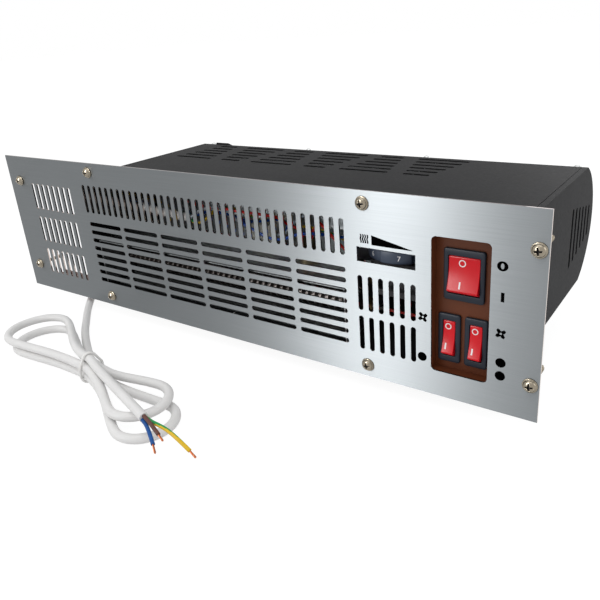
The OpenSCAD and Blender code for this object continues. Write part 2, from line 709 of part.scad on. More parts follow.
// === motor ===
module motor_shaft() { color("silver") on_shaft() rod_x(fan_x1 - hub_l, shaft_x1, shaft_d); }
module motor_rotor() {
  color("lightgray") on_shaft() difference() {
    rod_x(core_x, core_x + core_t, rotor_d);
    rod_x(core_x - 1, core_x + core_t + 1, shaft_d);
  }
}
module motor_core() {
  color("gray") on_shaft() difference() {
    along_x(core_x, core_x + core_t) difference() {
      rect_2d(core_box);
      rect_2d(core_window);
    }
    rod_x(core_x - 1, core_x + core_t + 1, rotor_d + 2 * 0.5);
    for (z = pillar_z) translate([0, pillar_y, z])
      rod_x(core_x - 1, core_x + core_t + 1, motor_screw_d + 2 * seat);
  }
}
module motor_coil() {
  leg = [core_box[0][0], core_window[0][0]];
  grow = coil_wall + seat;
  color("firebrick") on_shaft() difference() {
    box([core_x - grow, leg[0] - grow, -coil_h / 2], [core_x + core_t + grow, leg[1] + grow, coil_h / 2]);
    box([core_x - seat, leg[0] - seat, -coil_h], [core_x + core_t + seat, leg[1] + seat, coil_h]);
  }
}
// A pressed bridge that carries a bearing over one face of the core; dir is -1 on the fan's side
module motor_bridge(face, dir) {
  function sx(a, b) = dir > 0 ? [face + a, face + b] : [face - b, face - a];
  p = sx(bridge_off - bridge_t, bridge_off);
  q = sx(0, bridge_off);
  r = sx(-1, bridge_off + 1);
  color("silver") on_shaft() difference() {
    union() {
      box([p[0], -bridge_w / 2, core_box[0][1]], [p[1], bridge_w / 2, core_box[1][1]]);
      for (z = [core_box[0][1], core_box[1][1] - bridge_t])
        box([q[0], -bridge_w / 2, z], [q[1], bridge_w / 2, z + bridge_t]);
    }
    rod_x(r[0], r[1], motor_bearing_d + 2 * 0.05);
  }
}
module motor_bridge_inner() { motor_bridge(core_x, -1); }
module motor_bridge_outer() { motor_bridge(core_x + core_t, 1); }
module motor_bearings() {
  color("peru") on_shaft()
    for (x = [core_x - bridge_off - 1, core_x + core_t + bridge_off - bridge_t - 1]) difference() {
      rod_x(x, x + bridge_t + 2, motor_bearing_d);
      rod_x(x - 1, x + bridge_t + 3, shaft_d + clear);
    }
}
module motor_spacers() {
  color("silver") on_shaft() for (z = pillar_z) translate([0, pillar_y, z]) difference() {
    rod_x(duct_x[1] + plate_t + 0.05, core_x - 0.05, spacer_d);
    rod_x(duct_x[1], core_x + 1, motor_screw_d + 2 * seat);
  }
}
module motor_screws() {
  color("gainsboro") on_shaft() for (z = pillar_z)
    translate([core_x + core_t, pillar_y, z]) rotate([0, 90, 0])
      screw(7, 2.6, motor_screw_d, core_x + core_t - duct_x[1] + 2);
}

// === heating elements ===
module element(at) {
  fins = floor((duct_l - 12) / fin_pitch);
  mid = (duct_x[0] + duct_x[1]) / 2;
  ends = [duct_x[0] - plate_t - element_over, duct_x[1] + plate_t + element_over];
  color("gray") translate([0, at[0], at[1]]) {
    rod_x(ends[0], ends[1], element_d);
    for (i = [0:fins]) translate([mid + (i - fins / 2) * fin_pitch, 0, 0])
      rod_x(-fin_t / 2, fin_t / 2, fin_d);
    rod_x(ends[0] - 3, ends[1] + pin_l, 3);
  }
}
module element_upper() { element(element_at[0]); }
module element_lower() { element(element_at[1]); }
module element_nuts() {
  color("goldenrod") for (e = element_at, x = [duct_x[0] - plate_t - 0.1 - nut_t, duct_x[1] + plate_t + 0.1])
    translate([x, e[0], e[1]]) rotate([0, 90, 0]) nut(nut_af, nut_t, element_d + 0.2);
}
module thermal_cutout() {
  color("darkkhaki") translate([cutout_at[0], cutout_at[1], roof_z + 0.05]) {
    cylinder(d = 15, h = 8);
    box([-12, -6, 0], [12, 6, 1]);
    for (s = [-1, 1]) box([s * 4 - 0.4, -3, 7], [s * 4 + 0.4, 3, 15]);
  }
}

// === mains connection ===
module terminal_block() {
  color("ivory") difference() {
    box([block_x[0], block_at[1], roof_z + 0.05], [block_x[1], block_at[1] + block[1], roof_z + block[2]]);
    for (p = [0:2]) translate([0, pole_y(p), 0]) {
      translate([0, 0, pole_z]) rod_x(block_x[0] - 1, block_x[1] + 1, 4.4);
      for (x = [block_x[0] + 5, block_x[1] - 5]) translate([x, 0, pole_z + 1]) cylinder(d = 5, h = 20);
    }
    // notches between the poles
    for (p = [0, 1])
      box([block_x[0] - 1, pole_y(p) + 4.2, pole_z + 3], [block_x[1] + 1, pole_y(p) + 5.8, inf]);
  }
}
module terminal_screws() {
  color("goldenrod") for (p = [0:2], x = [block_x[0] + 5, block_x[1] - 5])
    translate([x, pole_y(p), pole_z + 2.6]) difference() {
      cylinder(d = 4.6, h = 4);
      translate([-3, -0.5, 2.8]) cube([6, 1, 3]);
    }
}
module earth_post() {
  color("gainsboro") translate([earth_at[0], earth_at[1], roof_z + 0.05]) {
    cylinder(d = 4, h = 17);
    cylinder(d = 8.1, h = 3, $fn = 6);
    translate([0, 0, 11]) cylinder(d = 8.1, h = 3.2, $fn = 6);
  }
}
module cord_grip() {
  color("#202020") translate([0, grip_at[0], grip_at[1]]) difference() {
    union() {
      translate([body_x0 - grip_l, 0, 0]) rotate([0, 90, 0])
        cylinder(h = grip_l - 3, d1 = grip_d[1], d2 = grip_d[0]);
      rod_x(body_x0 - 3.2, body_x0 - 0.1, grip_d[0] + 3);
      rod_x(body_x0 - 1, body_x0 + cap_t + 2.4, grip_hole - 2 * seat);
    }
    for (i = [0:3]) translate([body_x0 - grip_l + 3 + i * 4.6, 0, 0]) difference() {
      rod_x(0, 1.8, 40);
      rod_x(-1, 3, cord_d + 1.6);
    }
  }
}
module lead_tail() {
  color("ivory") tube(tail, cord_d, 8, [0, 0, 1]);
}

// === switches ===
module tray_floor_holes() {
  for (i = [0:2]) translate([switch_x[i], switch_row(i)])
    square([housing_w(i) + 2 * seat, housing_h + 2 * seat], center = true);
}
module switch_tray() {
  color("saddlebrown") {
    along_y(front_gap, front_gap + tray_t) translate([tray_x, tray_z]) difference() {
      translate([-tray_in[0] - flange_w, -tray_in[1] - tray_t])
        square([2 * (tray_in[0] + flange_w), tray_top - tray_z + tray_in[1] + tray_t]);
      square(2 * tray_in, center = true);
    }
    along_y(front_gap, tray_depth + tray_t) translate([tray_x, tray_z]) difference() {
      square(2 * [tray_in[0] + tray_t, tray_in[1] + tray_t], center = true);
      square(2 * tray_in, center = true);
    }
    along_y(tray_depth, tray_depth + tray_t) difference() {
      translate([tray_x, tray_z]) square(2 * [tray_in[0] + tray_t, tray_in[1] + tray_t], center = true);
      tray_floor_holes();
    }
  }
}
// A snap-in housing: bezel on the tray's floor, body through it, cavity for the rocker
module housing(i) {
  open_w = rocker_w(i) + 2 * clear;
  bore = open_w + 2 * (trunnion_l + clear);
  face = tray_depth - bezel_t;
  back = tray_depth + housing_l;
  color("#2c3038") translate([switch_x[i], 0, switch_row(i)]) difference() {
    union() {
      hull() {
        along_y(face + bezel_edge, tray_depth) round_2d([bezel_w(i), bezel_h], bezel_r);
        along_y(face, tray_depth) round_2d([bezel_w(i), bezel_h] - 2 * [bezel_edge, bezel_edge], bezel_r);
      }
      along_y(tray_depth - 0.2, back) square([housing_w(i), housing_h], center = true);
    }
    along_y(0, face + lip + 0.1) square([open_w, 2 * lip_half], center = true);
    along_y(face + lip, pivot_y + rocker_back + 2.5)
      square([open_w, 2 * (rocker_end + clear)], center = true);
    translate([0, pivot_y, 0]) rod_x(-bore / 2, bore / 2, trunnion_d + clear);
    for (z = tag_z(i)) box([-2.6, back - 3, z - 0.55], [2.6, back + 1, z + 0.55]);
  }
}
module switch_main() { housing(0); }
module switch_fan() { housing(1); }
module switch_heat() { housing(2); }
// A dished rocker on two trunnions, its ends round about the pivot, its lower half standing out in
// the off position
module rocker(i) {
  w = rocker_w(i);
  half = rocker_h / 2;
  front = [for (k = [-5:5]) let (t = k / 5) [-rocker_face - rocker_dish * t * t, half * t]];
  end = [for (k = [1:5]) let (a = mix(rocker_edge, 88, k / 5)) rocker_end * [-cos(a), sin(a)]];
  foot = [for (k = [5:-1:1]) [end[k - 1][0], -end[k - 1][1]]];
  rear = concat(end, [[rocker_back, half * 0.45], [rocker_back, -half * 0.45]], foot);
  color("crimson") translate([switch_x[i], pivot_y, switch_row(i)]) rotate([-rock_angle / 2, 0, 0]) {
    along_x(-w / 2, w / 2) polygon(concat(front, rear));
    rod_x(-w / 2 - clear - trunnion_l, w / 2 + clear + trunnion_l, trunnion_d);
  }
}
module rocker_main() { rocker(0); }
module rocker_fan() { rocker(1); }
module rocker_heat() { rocker(2); }
module switch_tags() {
  color("gainsboro") for (i = [0:2], z = tag_z(i))
    translate([switch_x[i], tray_depth + housing_l - 2.8, switch_row(i) + z])
      box([-2.4, 0, -0.4], [2.4, 10, 0.4]);
}

// === thermostat ===
module thumbwheel() {
  color("#3a4350") translate([dial_x, wheel_y, dial_z - wheel_t / 2]) difference() {
    union() {
      cylinder(r = wheel_r - 0.7, h = wheel_t, $fn = 96);
      intersection() {
        cylinder(r = wheel_r, h = wheel_t, $fn = 96);
        linear_extrude(wheel_t) polygon([[0, 0], for (a = raised) inf * [cos(a), sin(a)]]);
      }
    }
    translate([0, 0, wheel_t - 3]) difference() {
      cylinder(r = wheel_r - 4, h = 4);
      cylinder(d = 12, h = 9, center = true);
    }
    translate([0, 0, -1]) cylinder(d = spindle_d, h = wheel_t + 2);
  }
}
module thermostat_spindle() {
  color("silver") translate([dial_x, wheel_y, shelf_z - 4])
    cylinder(d = spindle_d, h = dial_z + wheel_t / 2 - shelf_z + 4);
}
module thermostat_body() {
  color("lightgray") translate([dial_x, wheel_y, shelf_z]) difference() {
    union() {
      box([-stat[0] / 2, -stat[1] / 2, -stat[2] - 0.05], [stat[0] / 2, stat[1] / 2, -0.05]);
      translate([0, 0, -1]) cylinder(d = spindle_hole - 0.1, h = bracket_t + 1);
    }
    translate([0, 0, -4.3]) cylinder(d = spindle_d + clear, h = 20);
    box([-stat[0] / 2 + 3, -stat[1] / 2 - 1, -stat[2] + 4], [stat[0] / 2 + 1, -stat[1] / 2 + 7, -7]);
  }
}
module thermostat_bracket() {
  x0 = duct_x[1] + plate_t + 0.05;
  color("silver") difference() {
    union() {
      box([x0, bracket_y[0] + 4, -36], [x0 + bracket_t, 27, shelf_z + bracket_t]);
      box([x0, bracket_y[0], shelf_z], [dial_x + 22, bracket_y[1], shelf_z + bracket_t]);
    }
    translate([dial_x, wheel_y, shelf_z - 1]) cylinder(d = spindle_hole, h = 4);
    for (z = bracket_hole_z) translate([0, bracket_hole_y, z]) rod_x(x0 - 1, x0 + 3, 3 + 2 * seat);
    for (e = element_at) translate([0, e[0], e[1]]) rod_x(x0 - 1, x0 + 3, nut_af + 4);
  }
}
module bracket_screws() {
  color("gainsboro") for (z = bracket_hole_z)
    translate([duct_x[1] + plate_t + 0.05 + bracket_t, bracket_hole_y, z]) rotate([0, 90, 0])
      screw(5.6, 2, 3, 5);
}

// === wires, by hand: from the block's poles to what they feed ===
// A point is taken from the jacket's end, from the block's near side or its far side, or from the
// duct's right end
function at_tail(p) = tail[len(tail) - 1] + p;
function to_block(x, y, z) = [block_x[0] + x, y, z];
function at_block(x, y, z) = [block_x[1] + x, y, z];
function at_duct(x, y, z) = [duct_x[1] + x, y, z];
module wire(points) { tube(points, wire_d, 6, [0, 0, 1]); }
module wire_live() {
  color("saddlebrown") {
    wire([at_tail([1, -1, 0.6]), at_tail([5.5, -1.2, 3]), at_tail([12, 1.5, 7.5]), at_tail([18, 8, 8.8]),
      to_block(-4.5, 32, 29), to_block(-2.5, 44, 16), to_block(-2.5, 55, 6), to_block(-2, 61, 2),
      [pole_in, pole_y(0), pole_z]]);
    wire([[pole_out, pole_y(0), pole_z], at_block(4, 63, 1.5), at_block(9, 63, 3), at_block(17, 60, 9),
      at_block(29, 56, 19), at_block(46, 52, 28.5), at_duct(-32.5, 51, 33), at_duct(-7.5, 52, 32.5),
      at_duct(22.5, 55, 31.5), at_duct(52.5, 50, 31), [switch_x[0] - 10.5, 42, 29],
      [switch_x[0] - 0.5, 37, switch_z[0] + 10.1], [switch_x[0], tag_y + 0.4, switch_z[0] + 10]]);
  }
}
module wire_neutral() {
  color("royalblue") {
    wire([at_tail([1, 1.4, 0.5]), at_tail([4, 4.5, 1.8]), at_tail([6.5, 12, 2.2]), at_tail([8.5, 24, -1]),
      at_tail([12, 39, -8.5]), to_block(-7, 66, 7), to_block(-2.5, 71.5, 2), [pole_in, pole_y(1), pole_z]]);
    wire([[pole_out, pole_y(1), pole_z], at_block(4, 73, 2.5), at_block(7, 70.5, 9), at_block(8.5, 62, 15),
      at_block(8.5, 50, 18.5), at_block(7, 38, 20.5), at_block(5, 28, 23.5), at_block(6.5, 18, 25.5),
      at_block(13, 14, 25), at_block(23, 13, 22), at_block(35, 13, 18.5), at_block(47, 13, 19),
      at_block(57, 14, 23),
      at_block(66, 17, 24.5), at_block(74, 26, 22), at_block(82, 42, 16), at_duct(-13.5, 60, 11),
      at_duct(0.5, 69, 9), at_duct(16.5, 73, 8), [core_x + 7, 77, 8],
      [core_x + 7, back_y + core_box[0][0] - coil_wall - 0.5, 8]]);
  }
}
module wire_earth() {
  color("yellowgreen") {
    wire([at_tail([1, 0, -1.5]), at_tail([6, -0.5, -3.2]), at_tail([13, -1, -1.5]), at_tail([18, 3, 2.5]),
      at_tail([17, 11, 5]), at_tail([12.5, 22, 3]), at_tail([10, 36, 0]), to_block(-14, 66, 15),
      to_block(-9.5, 77, 7), to_block(-3, 82, 2.2), [pole_in, pole_y(2), pole_z]]);
    wire([[pole_out, pole_y(2), pole_z], at_block(5, 83, 2), at_block(16, 83, 4), at_block(36, 80, 4),
      at_duct(-42.5, 70, 3.5), at_duct(-25.5, 58, 3.5), at_duct(-15.5, 50, 3.5),
      [earth_at[0], earth_at[1] + 2.4, 3.5]]);
  }
}
module wire_red() {
  pin_end = duct_x[1] + plate_t + element_over + pin_l + clear;
  tab_z = roof_z + 15.3;
  color("orangered") {
    // from the cutout to the thermostat
    wire([[cutout_at[0] + 4, cutout_at[1], tab_z], [cutout_at[0] + 5.5, 44, 15], [cutout_at[0] + 12, 38, 21],
      at_duct(-35.5, 28, 29), at_duct(-28, 20, 32.5), at_duct(-20.5, 16.5, 29.5), at_duct(-14.5, 18.5, 22),
      at_duct(-9, 23, 14), at_duct(-3.5, 28, 7.5), at_duct(4.5, 30, 3.6),
      [dial_x - stat[0] / 2 - 0.3, 30, 2]]);
    // from the cutout to the wide switch
    wire([[cutout_at[0] - 4, cutout_at[1], tab_z], [cutout_at[0] - 5.5, 44, 15], [cutout_at[0] - 13, 36, 23],
      at_block(33, 26, 30), at_block(23, 18, 33.8), at_block(12, 14, 35.2), at_block(1, 13, 35.8),
      at_block(-8, 15, 36.5), at_block(-13, 22, 37.5), at_block(-12, 32, 38.5), at_block(-4, 42, 38.8),
      at_block(10, 51, 38.8), at_block(34, 58, 38.8), at_duct(-37.5, 62, 38.8), at_duct(-2.5, 62, 38.8),
      at_duct(32.5, 59, 38), at_duct(57.5, 54, 35), [switch_x[0] - 11, 49, 26], [switch_x[0] - 3, 42, 19],
      [switch_x[0] - 0.2, 36, switch_z[0] + 0.2], [switch_x[0], tag_y + 0.4, switch_z[0]]]);
    // from the elements to the narrow switches
    wire([[pin_end, element_at[0][0], element_at[0][1]], at_duct(22.5, 52, -15), at_duct(37.5, 48, -17),
      at_duct(62.5, 42, -21), [switch_x[1] - 1.7, 36, switch_z[1] + 0.4],
      [switch_x[1], tag_y + 0.4, switch_z[1]]]);
    wire([[pin_end, element_at[1][0], element_at[1][1]], at_duct(24.5, 35, -31), at_duct(52.5, 38, -33),
      [switch_x[2] - 10.9, 39, -34.4], [switch_x[2] - 1.9, 36, switch_z[1] - 9],
      [switch_x[2], tag_y + 0.4, switch_z[1] - 9]]);
  }
}

// === lead, hank, tie and stripped cores ===
module cord_lead() {
  // it runs into the hank's first strand under the tie
  away = hank_points[0] - hank_points[1];
  back = unit([away[0], away[1], 0]);
  join = [hank_points[0] + cord_d * back - [0, 0, 0.35], hank_points[0] + 0.5 * back];
  color("whitesmoke") tube(concat(lead_route, join), cord_d, 8, [0.83, 0.55, 0]);
}
module cord_hank() { color("whitesmoke") tube(hank_points, cord_d, 6, [0, 0, 1]); }
module tie_2d(grow) {
  strands = [[-waist_side, 0], [waist_side, 0], [-waist_side, step], [waist_side, step], [0, waist_top]];
  hull() for (c = strands) translate(c + [0, waist_lift]) circle(cord_r + grow, $fn = 32);
}
module cord_tie() {
  color("whitesmoke") translate([hank_at[0], hank_at[1], lie]) rotate(hank_turn)
    along_x(-tie_w / 2, tie_w / 2) difference() {
      tie_2d(tie_gap + tie_t);
      tie_2d(tie_gap);
    }
}
// Stripped cores, by hand: each starts at the jacket's end and stops where its insulation does
tail_to = unit(hank_points[hank_len - 1] - hank_points[hank_len - 2]);
tail_side = unit(cross(tail_to, [0, 0, 1]));
tail_up = cross(tail_side, tail_to);
core_ring = 1.6;
tip_d = 1.3;
function core_start(a) = hank_points[hank_len - 1] + 0.3 * tail_to
  + core_ring * (cos(a) * tail_side + sin(a) * tail_up);
blue_route = [core_start(-30), [50.5, -122.9, -58.7], [56, -125.9, -59], [61, -128.9, -59.9],
  [66.4, -132.2, -61.4]];
brown_route = [core_start(90), [51.5, -121.4, -56.6], [57.5, -123.4, -57.6], [64.2, -125.4, -59.6]];
earth_route = [core_start(210), [52.5, -119.4, -58.2], [60, -120.6, -57.4], [68, -121.9, -57],
  [77, -123.2, -58.6], [87.3, -123.4, -64]];
tip_ends = [[72, -136, -63], [69.6, -127.3, -60.8], [91.9, -123.7, -67]];
module core_blue() { color("mediumblue") tube(blue_route, core_d, 8, [0, 0, 1]); }
module core_brown() { color("saddlebrown") tube(brown_route, core_d, 8, [0, 0, 1]); }
module core_earth() { color("gold") tube(earth_route, core_d, 8, [0, 0, 1]); }
module core_tips() {
  routes = [blue_route, brown_route, earth_route];
  color("peru") for (i = [0:2])
    let (r = routes[i], e = r[len(r) - 1], b = r[len(r) - 2], s = e + 0.15 * unit(e - b))
      tube([s, mix(s, tip_ends[i], 0.5), tip_ends[i]], tip_d, 8, [0, 0, 1]);
}

fascia();
fixing_screws();
fascia_screws();
lower_rail();
rail_screws();
top_cover();
back_shell();
end_cap_left();
end_cap_right();
cover_screws();
duct_plate_left();
duct_plate_right();
air_guide();
duct_roof();
impeller();
impeller_pin();
impeller_bush();
impeller_bearing();
motor_shaft();
motor_rotor();
motor_core();
motor_coil();
motor_bridge_inner();
motor_bridge_outer();
motor_bearings();
motor_spacers();
motor_screws();
element_upper();
element_lower();
element_nuts();
thermal_cutout();
terminal_block();
terminal_screws();
earth_post();
cord_grip();
lead_tail();
switch_tray();
switch_main();
switch_fan();
switch_heat();
rocker_main();
rocker_fan();
rocker_heat();
switch_tags();
thumbwheel();
thermostat_spindle();
thermostat_body();
thermostat_bracket();
bracket_screws();
wire_live();
wire_neutral();
wire_earth();
wire_red();
cord_lead();
cord_hank();
cord_tie();
core_blue();
core_brown();
core_earth();
core_tips();
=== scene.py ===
# Plinth heater: the looks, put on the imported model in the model's own frame.
# Metres. X runs along the fascia, Y back into the plinth, Z up.
import math

import bmesh
import bpy
from mathutils import Matrix, Vector


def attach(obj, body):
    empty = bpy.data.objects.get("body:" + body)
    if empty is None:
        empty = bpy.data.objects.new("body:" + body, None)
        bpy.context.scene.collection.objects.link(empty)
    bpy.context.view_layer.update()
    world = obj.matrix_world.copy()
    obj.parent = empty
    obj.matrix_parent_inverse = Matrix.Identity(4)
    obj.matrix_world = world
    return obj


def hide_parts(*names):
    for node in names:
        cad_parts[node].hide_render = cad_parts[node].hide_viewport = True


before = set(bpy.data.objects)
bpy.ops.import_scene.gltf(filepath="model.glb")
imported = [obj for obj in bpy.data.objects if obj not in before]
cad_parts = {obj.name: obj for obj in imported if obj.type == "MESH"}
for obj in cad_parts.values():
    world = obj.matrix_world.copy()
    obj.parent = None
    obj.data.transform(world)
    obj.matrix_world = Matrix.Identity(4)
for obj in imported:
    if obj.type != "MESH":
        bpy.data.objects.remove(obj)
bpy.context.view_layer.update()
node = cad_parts
mm = 0.001

# --- Camera: stands to the right of the heater and a little above it, close enough for the
# fascia's right end to look taller than its left. Its three axes were fitted to the heater's edges.
camera = bpy.data.objects.new("camera", bpy.data.cameras.new("camera"))
bpy.context.scene.collection.objects.link(camera)
right, up, back = (0.8259, 0.5599, -0.0658), (-0.1609, 0.3459, 0.9244), (0.5403, -0.7529, 0.3758)
turn = Matrix((right, up, back)).transposed().to_quaternion()
camera.rotation_mode = "QUATERNION"
camera.rotation_quaternion = turn
camera.location = (0.3300, -0.3239, 0.1614)
camera.data.sensor_width = 36
camera.data.lens = 37.93
camera.data.shift_x = -0.0273
camera.data.shift_y = -0.0355
camera.data.clip_start = 0.01
bpy.context.scene.camera = camera

# --- Studio: a white floor that keeps a faint shadow, a white surround, a broad lamp overhead and
# a key at the front left. A tall strip beside the key lights nothing but shows in polished
# surfaces, where it draws the bright upright band on the brushed fascia.
bpy.context.scene.view_settings.view_transform = "Standard"
floor_z, floor_half = -0.0751, 9
floor_mesh = bpy.data.meshes.new("floor")
floor_mesh.from_pydata([(x * floor_half, y * floor_half, floor_z)
                        for x, y in ((-1, -1), (1, -1), (1, 1), (-1, 1))], [], [(0, 1, 2, 3)])
floor = bpy.data.objects.new("floor", floor_mesh)
bpy.context.scene.collection.objects.link(floor)


def rays_that_see(n, l):
    """1 for the rays that show the studio: straight, through something clear or in a mirror."""
    rays = n.new("ShaderNodeLightPath")
    through, seen = n.new("ShaderNodeMath"), n.new("ShaderNodeMath")
    through.operation = seen.operation = "MAXIMUM"
    l.new(rays.outputs["Is Camera Ray"], through.inputs[0])
    l.new(rays.outputs["Is Transmission Ray"], through.inputs[1])
    l.new(through.outputs[0], seen.inputs[0])
    l.new(rays.outputs["Is Glossy Ray"], seen.inputs[1])
    return seen.outputs[0]


floor_paint = bpy.data.materials.new("floor_paint")
floor_paint.use_nodes = True
n, l = floor_paint.node_tree.nodes, floor_paint.node_tree.links
n.clear()
matt = n.new("ShaderNodeBsdfDiffuse")
matt.inputs["Color"].default_value = (0.16, 0.16, 0.16, 1)
glow = n.new("ShaderNodeEmission")
glow.inputs["Color"].default_value = (1, 1, 1, 1)
glow.inputs["Strength"].default_value = 0.92
both = n.new("ShaderNodeAddShader")
plain = n.new("ShaderNodeBsdfDiffuse")
plain.inputs["Color"].default_value = (0.8, 0.8, 0.8, 1)
pick = n.new("ShaderNodeMixShader")
out = n.new("ShaderNodeOutputMaterial")
l.new(matt.outputs[0], both.inputs[0])
l.new(glow.outputs[0], both.inputs[1])
l.new(rays_that_see(n, l), pick.inputs[0])
l.new(plain.outputs[0], pick.inputs[1])
l.new(both.outputs[0], pick.inputs[2])
l.new(pick.outputs[0], out.inputs[0])
floor_mesh.materials.append(floor_paint)

world = bpy.data.worlds.new("studio")
bpy.context.scene.world = world
world.use_nodes = True
n, l = world.node_tree.nodes, world.node_tree.links
n.clear()
light = n.new("ShaderNodeBackground")
light.inputs["Color"].default_value = (0.98, 0.99, 1.0, 1)
light.inputs["Strength"].default_value = 0.60
white = n.new("ShaderNodeBackground")
white.inputs["Color"].default_value = (1, 1, 1, 1)
white.inputs["Strength"].default_value = 1.0
pick = n.new("ShaderNodeMixShader")
out = n.new("ShaderNodeOutputWorld")
l.new(rays_that_see(n, l), pick.inputs[0])
l.new(light.outputs[0], pick.inputs[1])
l.new(white.outputs[0], pick.inputs[2])
l.new(pick.outputs[0], out.inputs[0])


def lamp(name, at, aim, size, watts):
    """A white lamp of a width and a height, at a place and turned to what it lights."""
    data = bpy.data.lights.new(name, "AREA")
    data.shape = "RECTANGLE"
    data.size, data.size_y = size
    data.energy = watts
    o = bpy.data.objects.new(name, data)
    bpy.context.scene.collection.objects.link(o)
    o.location = at
    o.rotation_mode = "QUATERNION"
    o.rotation_quaternion = (Vector(aim) - Vector(at)).to_track_quat("-Z", "Y")
    return o


lamp("overhead", (0.1, -0.3, 1.6), (0.05, 0.05, 0), (1.6, 1.6), 9)
lamp("key", (-0.5, -1.25, 0.62), (0.1, 0, 0), (0.9, 0.9), 4)
lamp("right_side", (1.5, 0.5, 0.5), (0.2, 0.1, 0), (0.9, 0.9), 5)
lamp("behind", (0.35, 1.6, 0.45), (0.1, 0.1, 0), (1.2, 0.6), 4)
strip = lamp("strip", (-0.52, -1.25, 0.45), (0.16, 0, 0.1), (0.30, 1.3), 20.5)
strip.visible_diffuse = False

# --- Mains lead: three-core lead in an off-white PVC jacket, 6.5 mm over. It leaves the grip on the
# left end cap, drops to the floor, passes under the fascia and lies in a hank of four half laps,
# from whose waist the stripped end runs out. One extruded length, so one curve.
cord_r = 3.25 * mm


def surface(name, colour, rough, metal=0.0, mottle=0.08, grain=60.0, bump=0.05, streak=(1, 1, 1),
            gloss=0.5):
    """A finish whose colour and roughness drift over the piece, with a fine grain in its skin."""
    m = bpy.data.materials.new(name)
    m.use_nodes = True
    n, l = m.node_tree.nodes, m.node_tree.links
    b = n["Principled BSDF"]
    b.inputs["Metallic"].default_value = metal
    b.inputs["Specular IOR Level"].default_value = gloss
    where = n.new("ShaderNodeTexCoord")
    stretch = n.new("ShaderNodeMapping")
    stretch.inputs["Scale"].default_value = streak
    l.new(where.outputs["Object"], stretch.inputs["Vector"])
    drift = n.new("ShaderNodeTexNoise")
    drift.inputs["Scale"].default_value = grain
    drift.inputs["Detail"].default_value = 3
    fine = n.new("ShaderNodeTexNoise")
    fine.inputs["Scale"].default_value = grain * 18
    fine.inputs["Detail"].default_value = 2
    tone = n.new("ShaderNodeValToRGB")
    tone.color_ramp.elements[0].position = 0.3
    tone.color_ramp.elements[1].position = 0.7
    tone.color_ramp.elements[0].color = [c * (1 - mottle) for c in colour] + [1]
    tone.color_ramp.elements[1].color = [min(1, c * (1 + mottle)) for c in colour] + [1]
    sheen = n.new("ShaderNodeMapRange")
    sheen.inputs["To Min"].default_value = max(0.02, rough - 0.06)
    sheen.inputs["To Max"].default_value = min(1, rough + 0.06)
    relief = n.new("ShaderNodeBump")
    relief.inputs["Strength"].default_value = bump
    relief.inputs["Distance"].default_value = 0.0002
    for tex in (drift, fine):
        l.new(stretch.outputs["Vector"], tex.inputs["Vector"])
    l.new(drift.outputs["Fac"], tone.inputs["Fac"])
    l.new(tone.outputs["Color"], b.inputs["Base Color"])
    l.new(fine.outputs["Fac"], sheen.inputs["Value"])
    l.new(sheen.outputs["Result"], b.inputs["Roughness"])
    l.new(fine.outputs["Fac"], relief.inputs["Height"])
    l.new(relief.outputs["Normal"], b.inputs["Normal"])
    return m


def smooth_run(points, apart):
    """Points on one smooth curve through the given ones, about this far apart."""
    p = [Vector(q) for q in points]
    p = [2 * p[0] - p[1]] + p + [2 * p[-1] - p[-2]]
    run = []
    for i in range(1, len(p) - 2):
        a, b, c, d = p[i - 1:i + 3]
        t1, t2 = 0.0, (b - a).length ** 0.5
        t3 = t2 + (c - b).length ** 0.5
        t4 = t3 + (d - c).length ** 0.5
        parts = max(1, round((c - b).length / apart))
        for k in range(parts):
            t = t2 + (t3 - t2) * k / parts
            a1 = a.lerp(b, (t - t1) / (t2 - t1))
            a2 = b.lerp(c, (t - t2) / (t3 - t2))
            a3 = c.lerp(d, (t - t3) / (t4 - t3))
            b1 = a1.lerp(a2, (t - t1) / (t3 - t1))
            b2 = a2.lerp(a3, (t - t2) / (t4 - t2))
            run.append(b1.lerp(b2, (t - t2) / (t3 - t2)))
    return run + [p[-2]]


step = 7.1  # from one strand to the next, beside it or above it
waist_lift, waist_half = 2.1, 14  # the strands' rise over the tie, and half the rise's length
waist_top = 2 * step - 0.62
lie = -71.7  # height of a strand's middle on the floor
hank_at, hank_turn = (-49.0, -88.0), math.radians(-12)
# each half lap: side, reach, end radius, height at its start and at its end, offset of its end
laps = [(1, 101, 20, 0, 0, -3), (-1, 112, 22, 0, step, 0), (1, 86, 20, step, step, 2),
        (-1, 124, 24, step, waist_top, 0)]
tail_end = (98.5, -11.0, 14.0)
flare = math.radians(13)


def ease(t):
    """Smooth rise from 0 to 1, level before and after."""
    return 0 if t <= 0 else 1 if t >= 1 else t * t * (3 - 2 * t)


def swept(p, t):
    """A point on the cubic curve of four control points."""
    return [a * (1 - t) ** 3 + 3 * b * t * (1 - t) ** 2 + 3 * c * t * t * (1 - t) + d * t ** 3
            for a, b, c, d in zip(*p)]


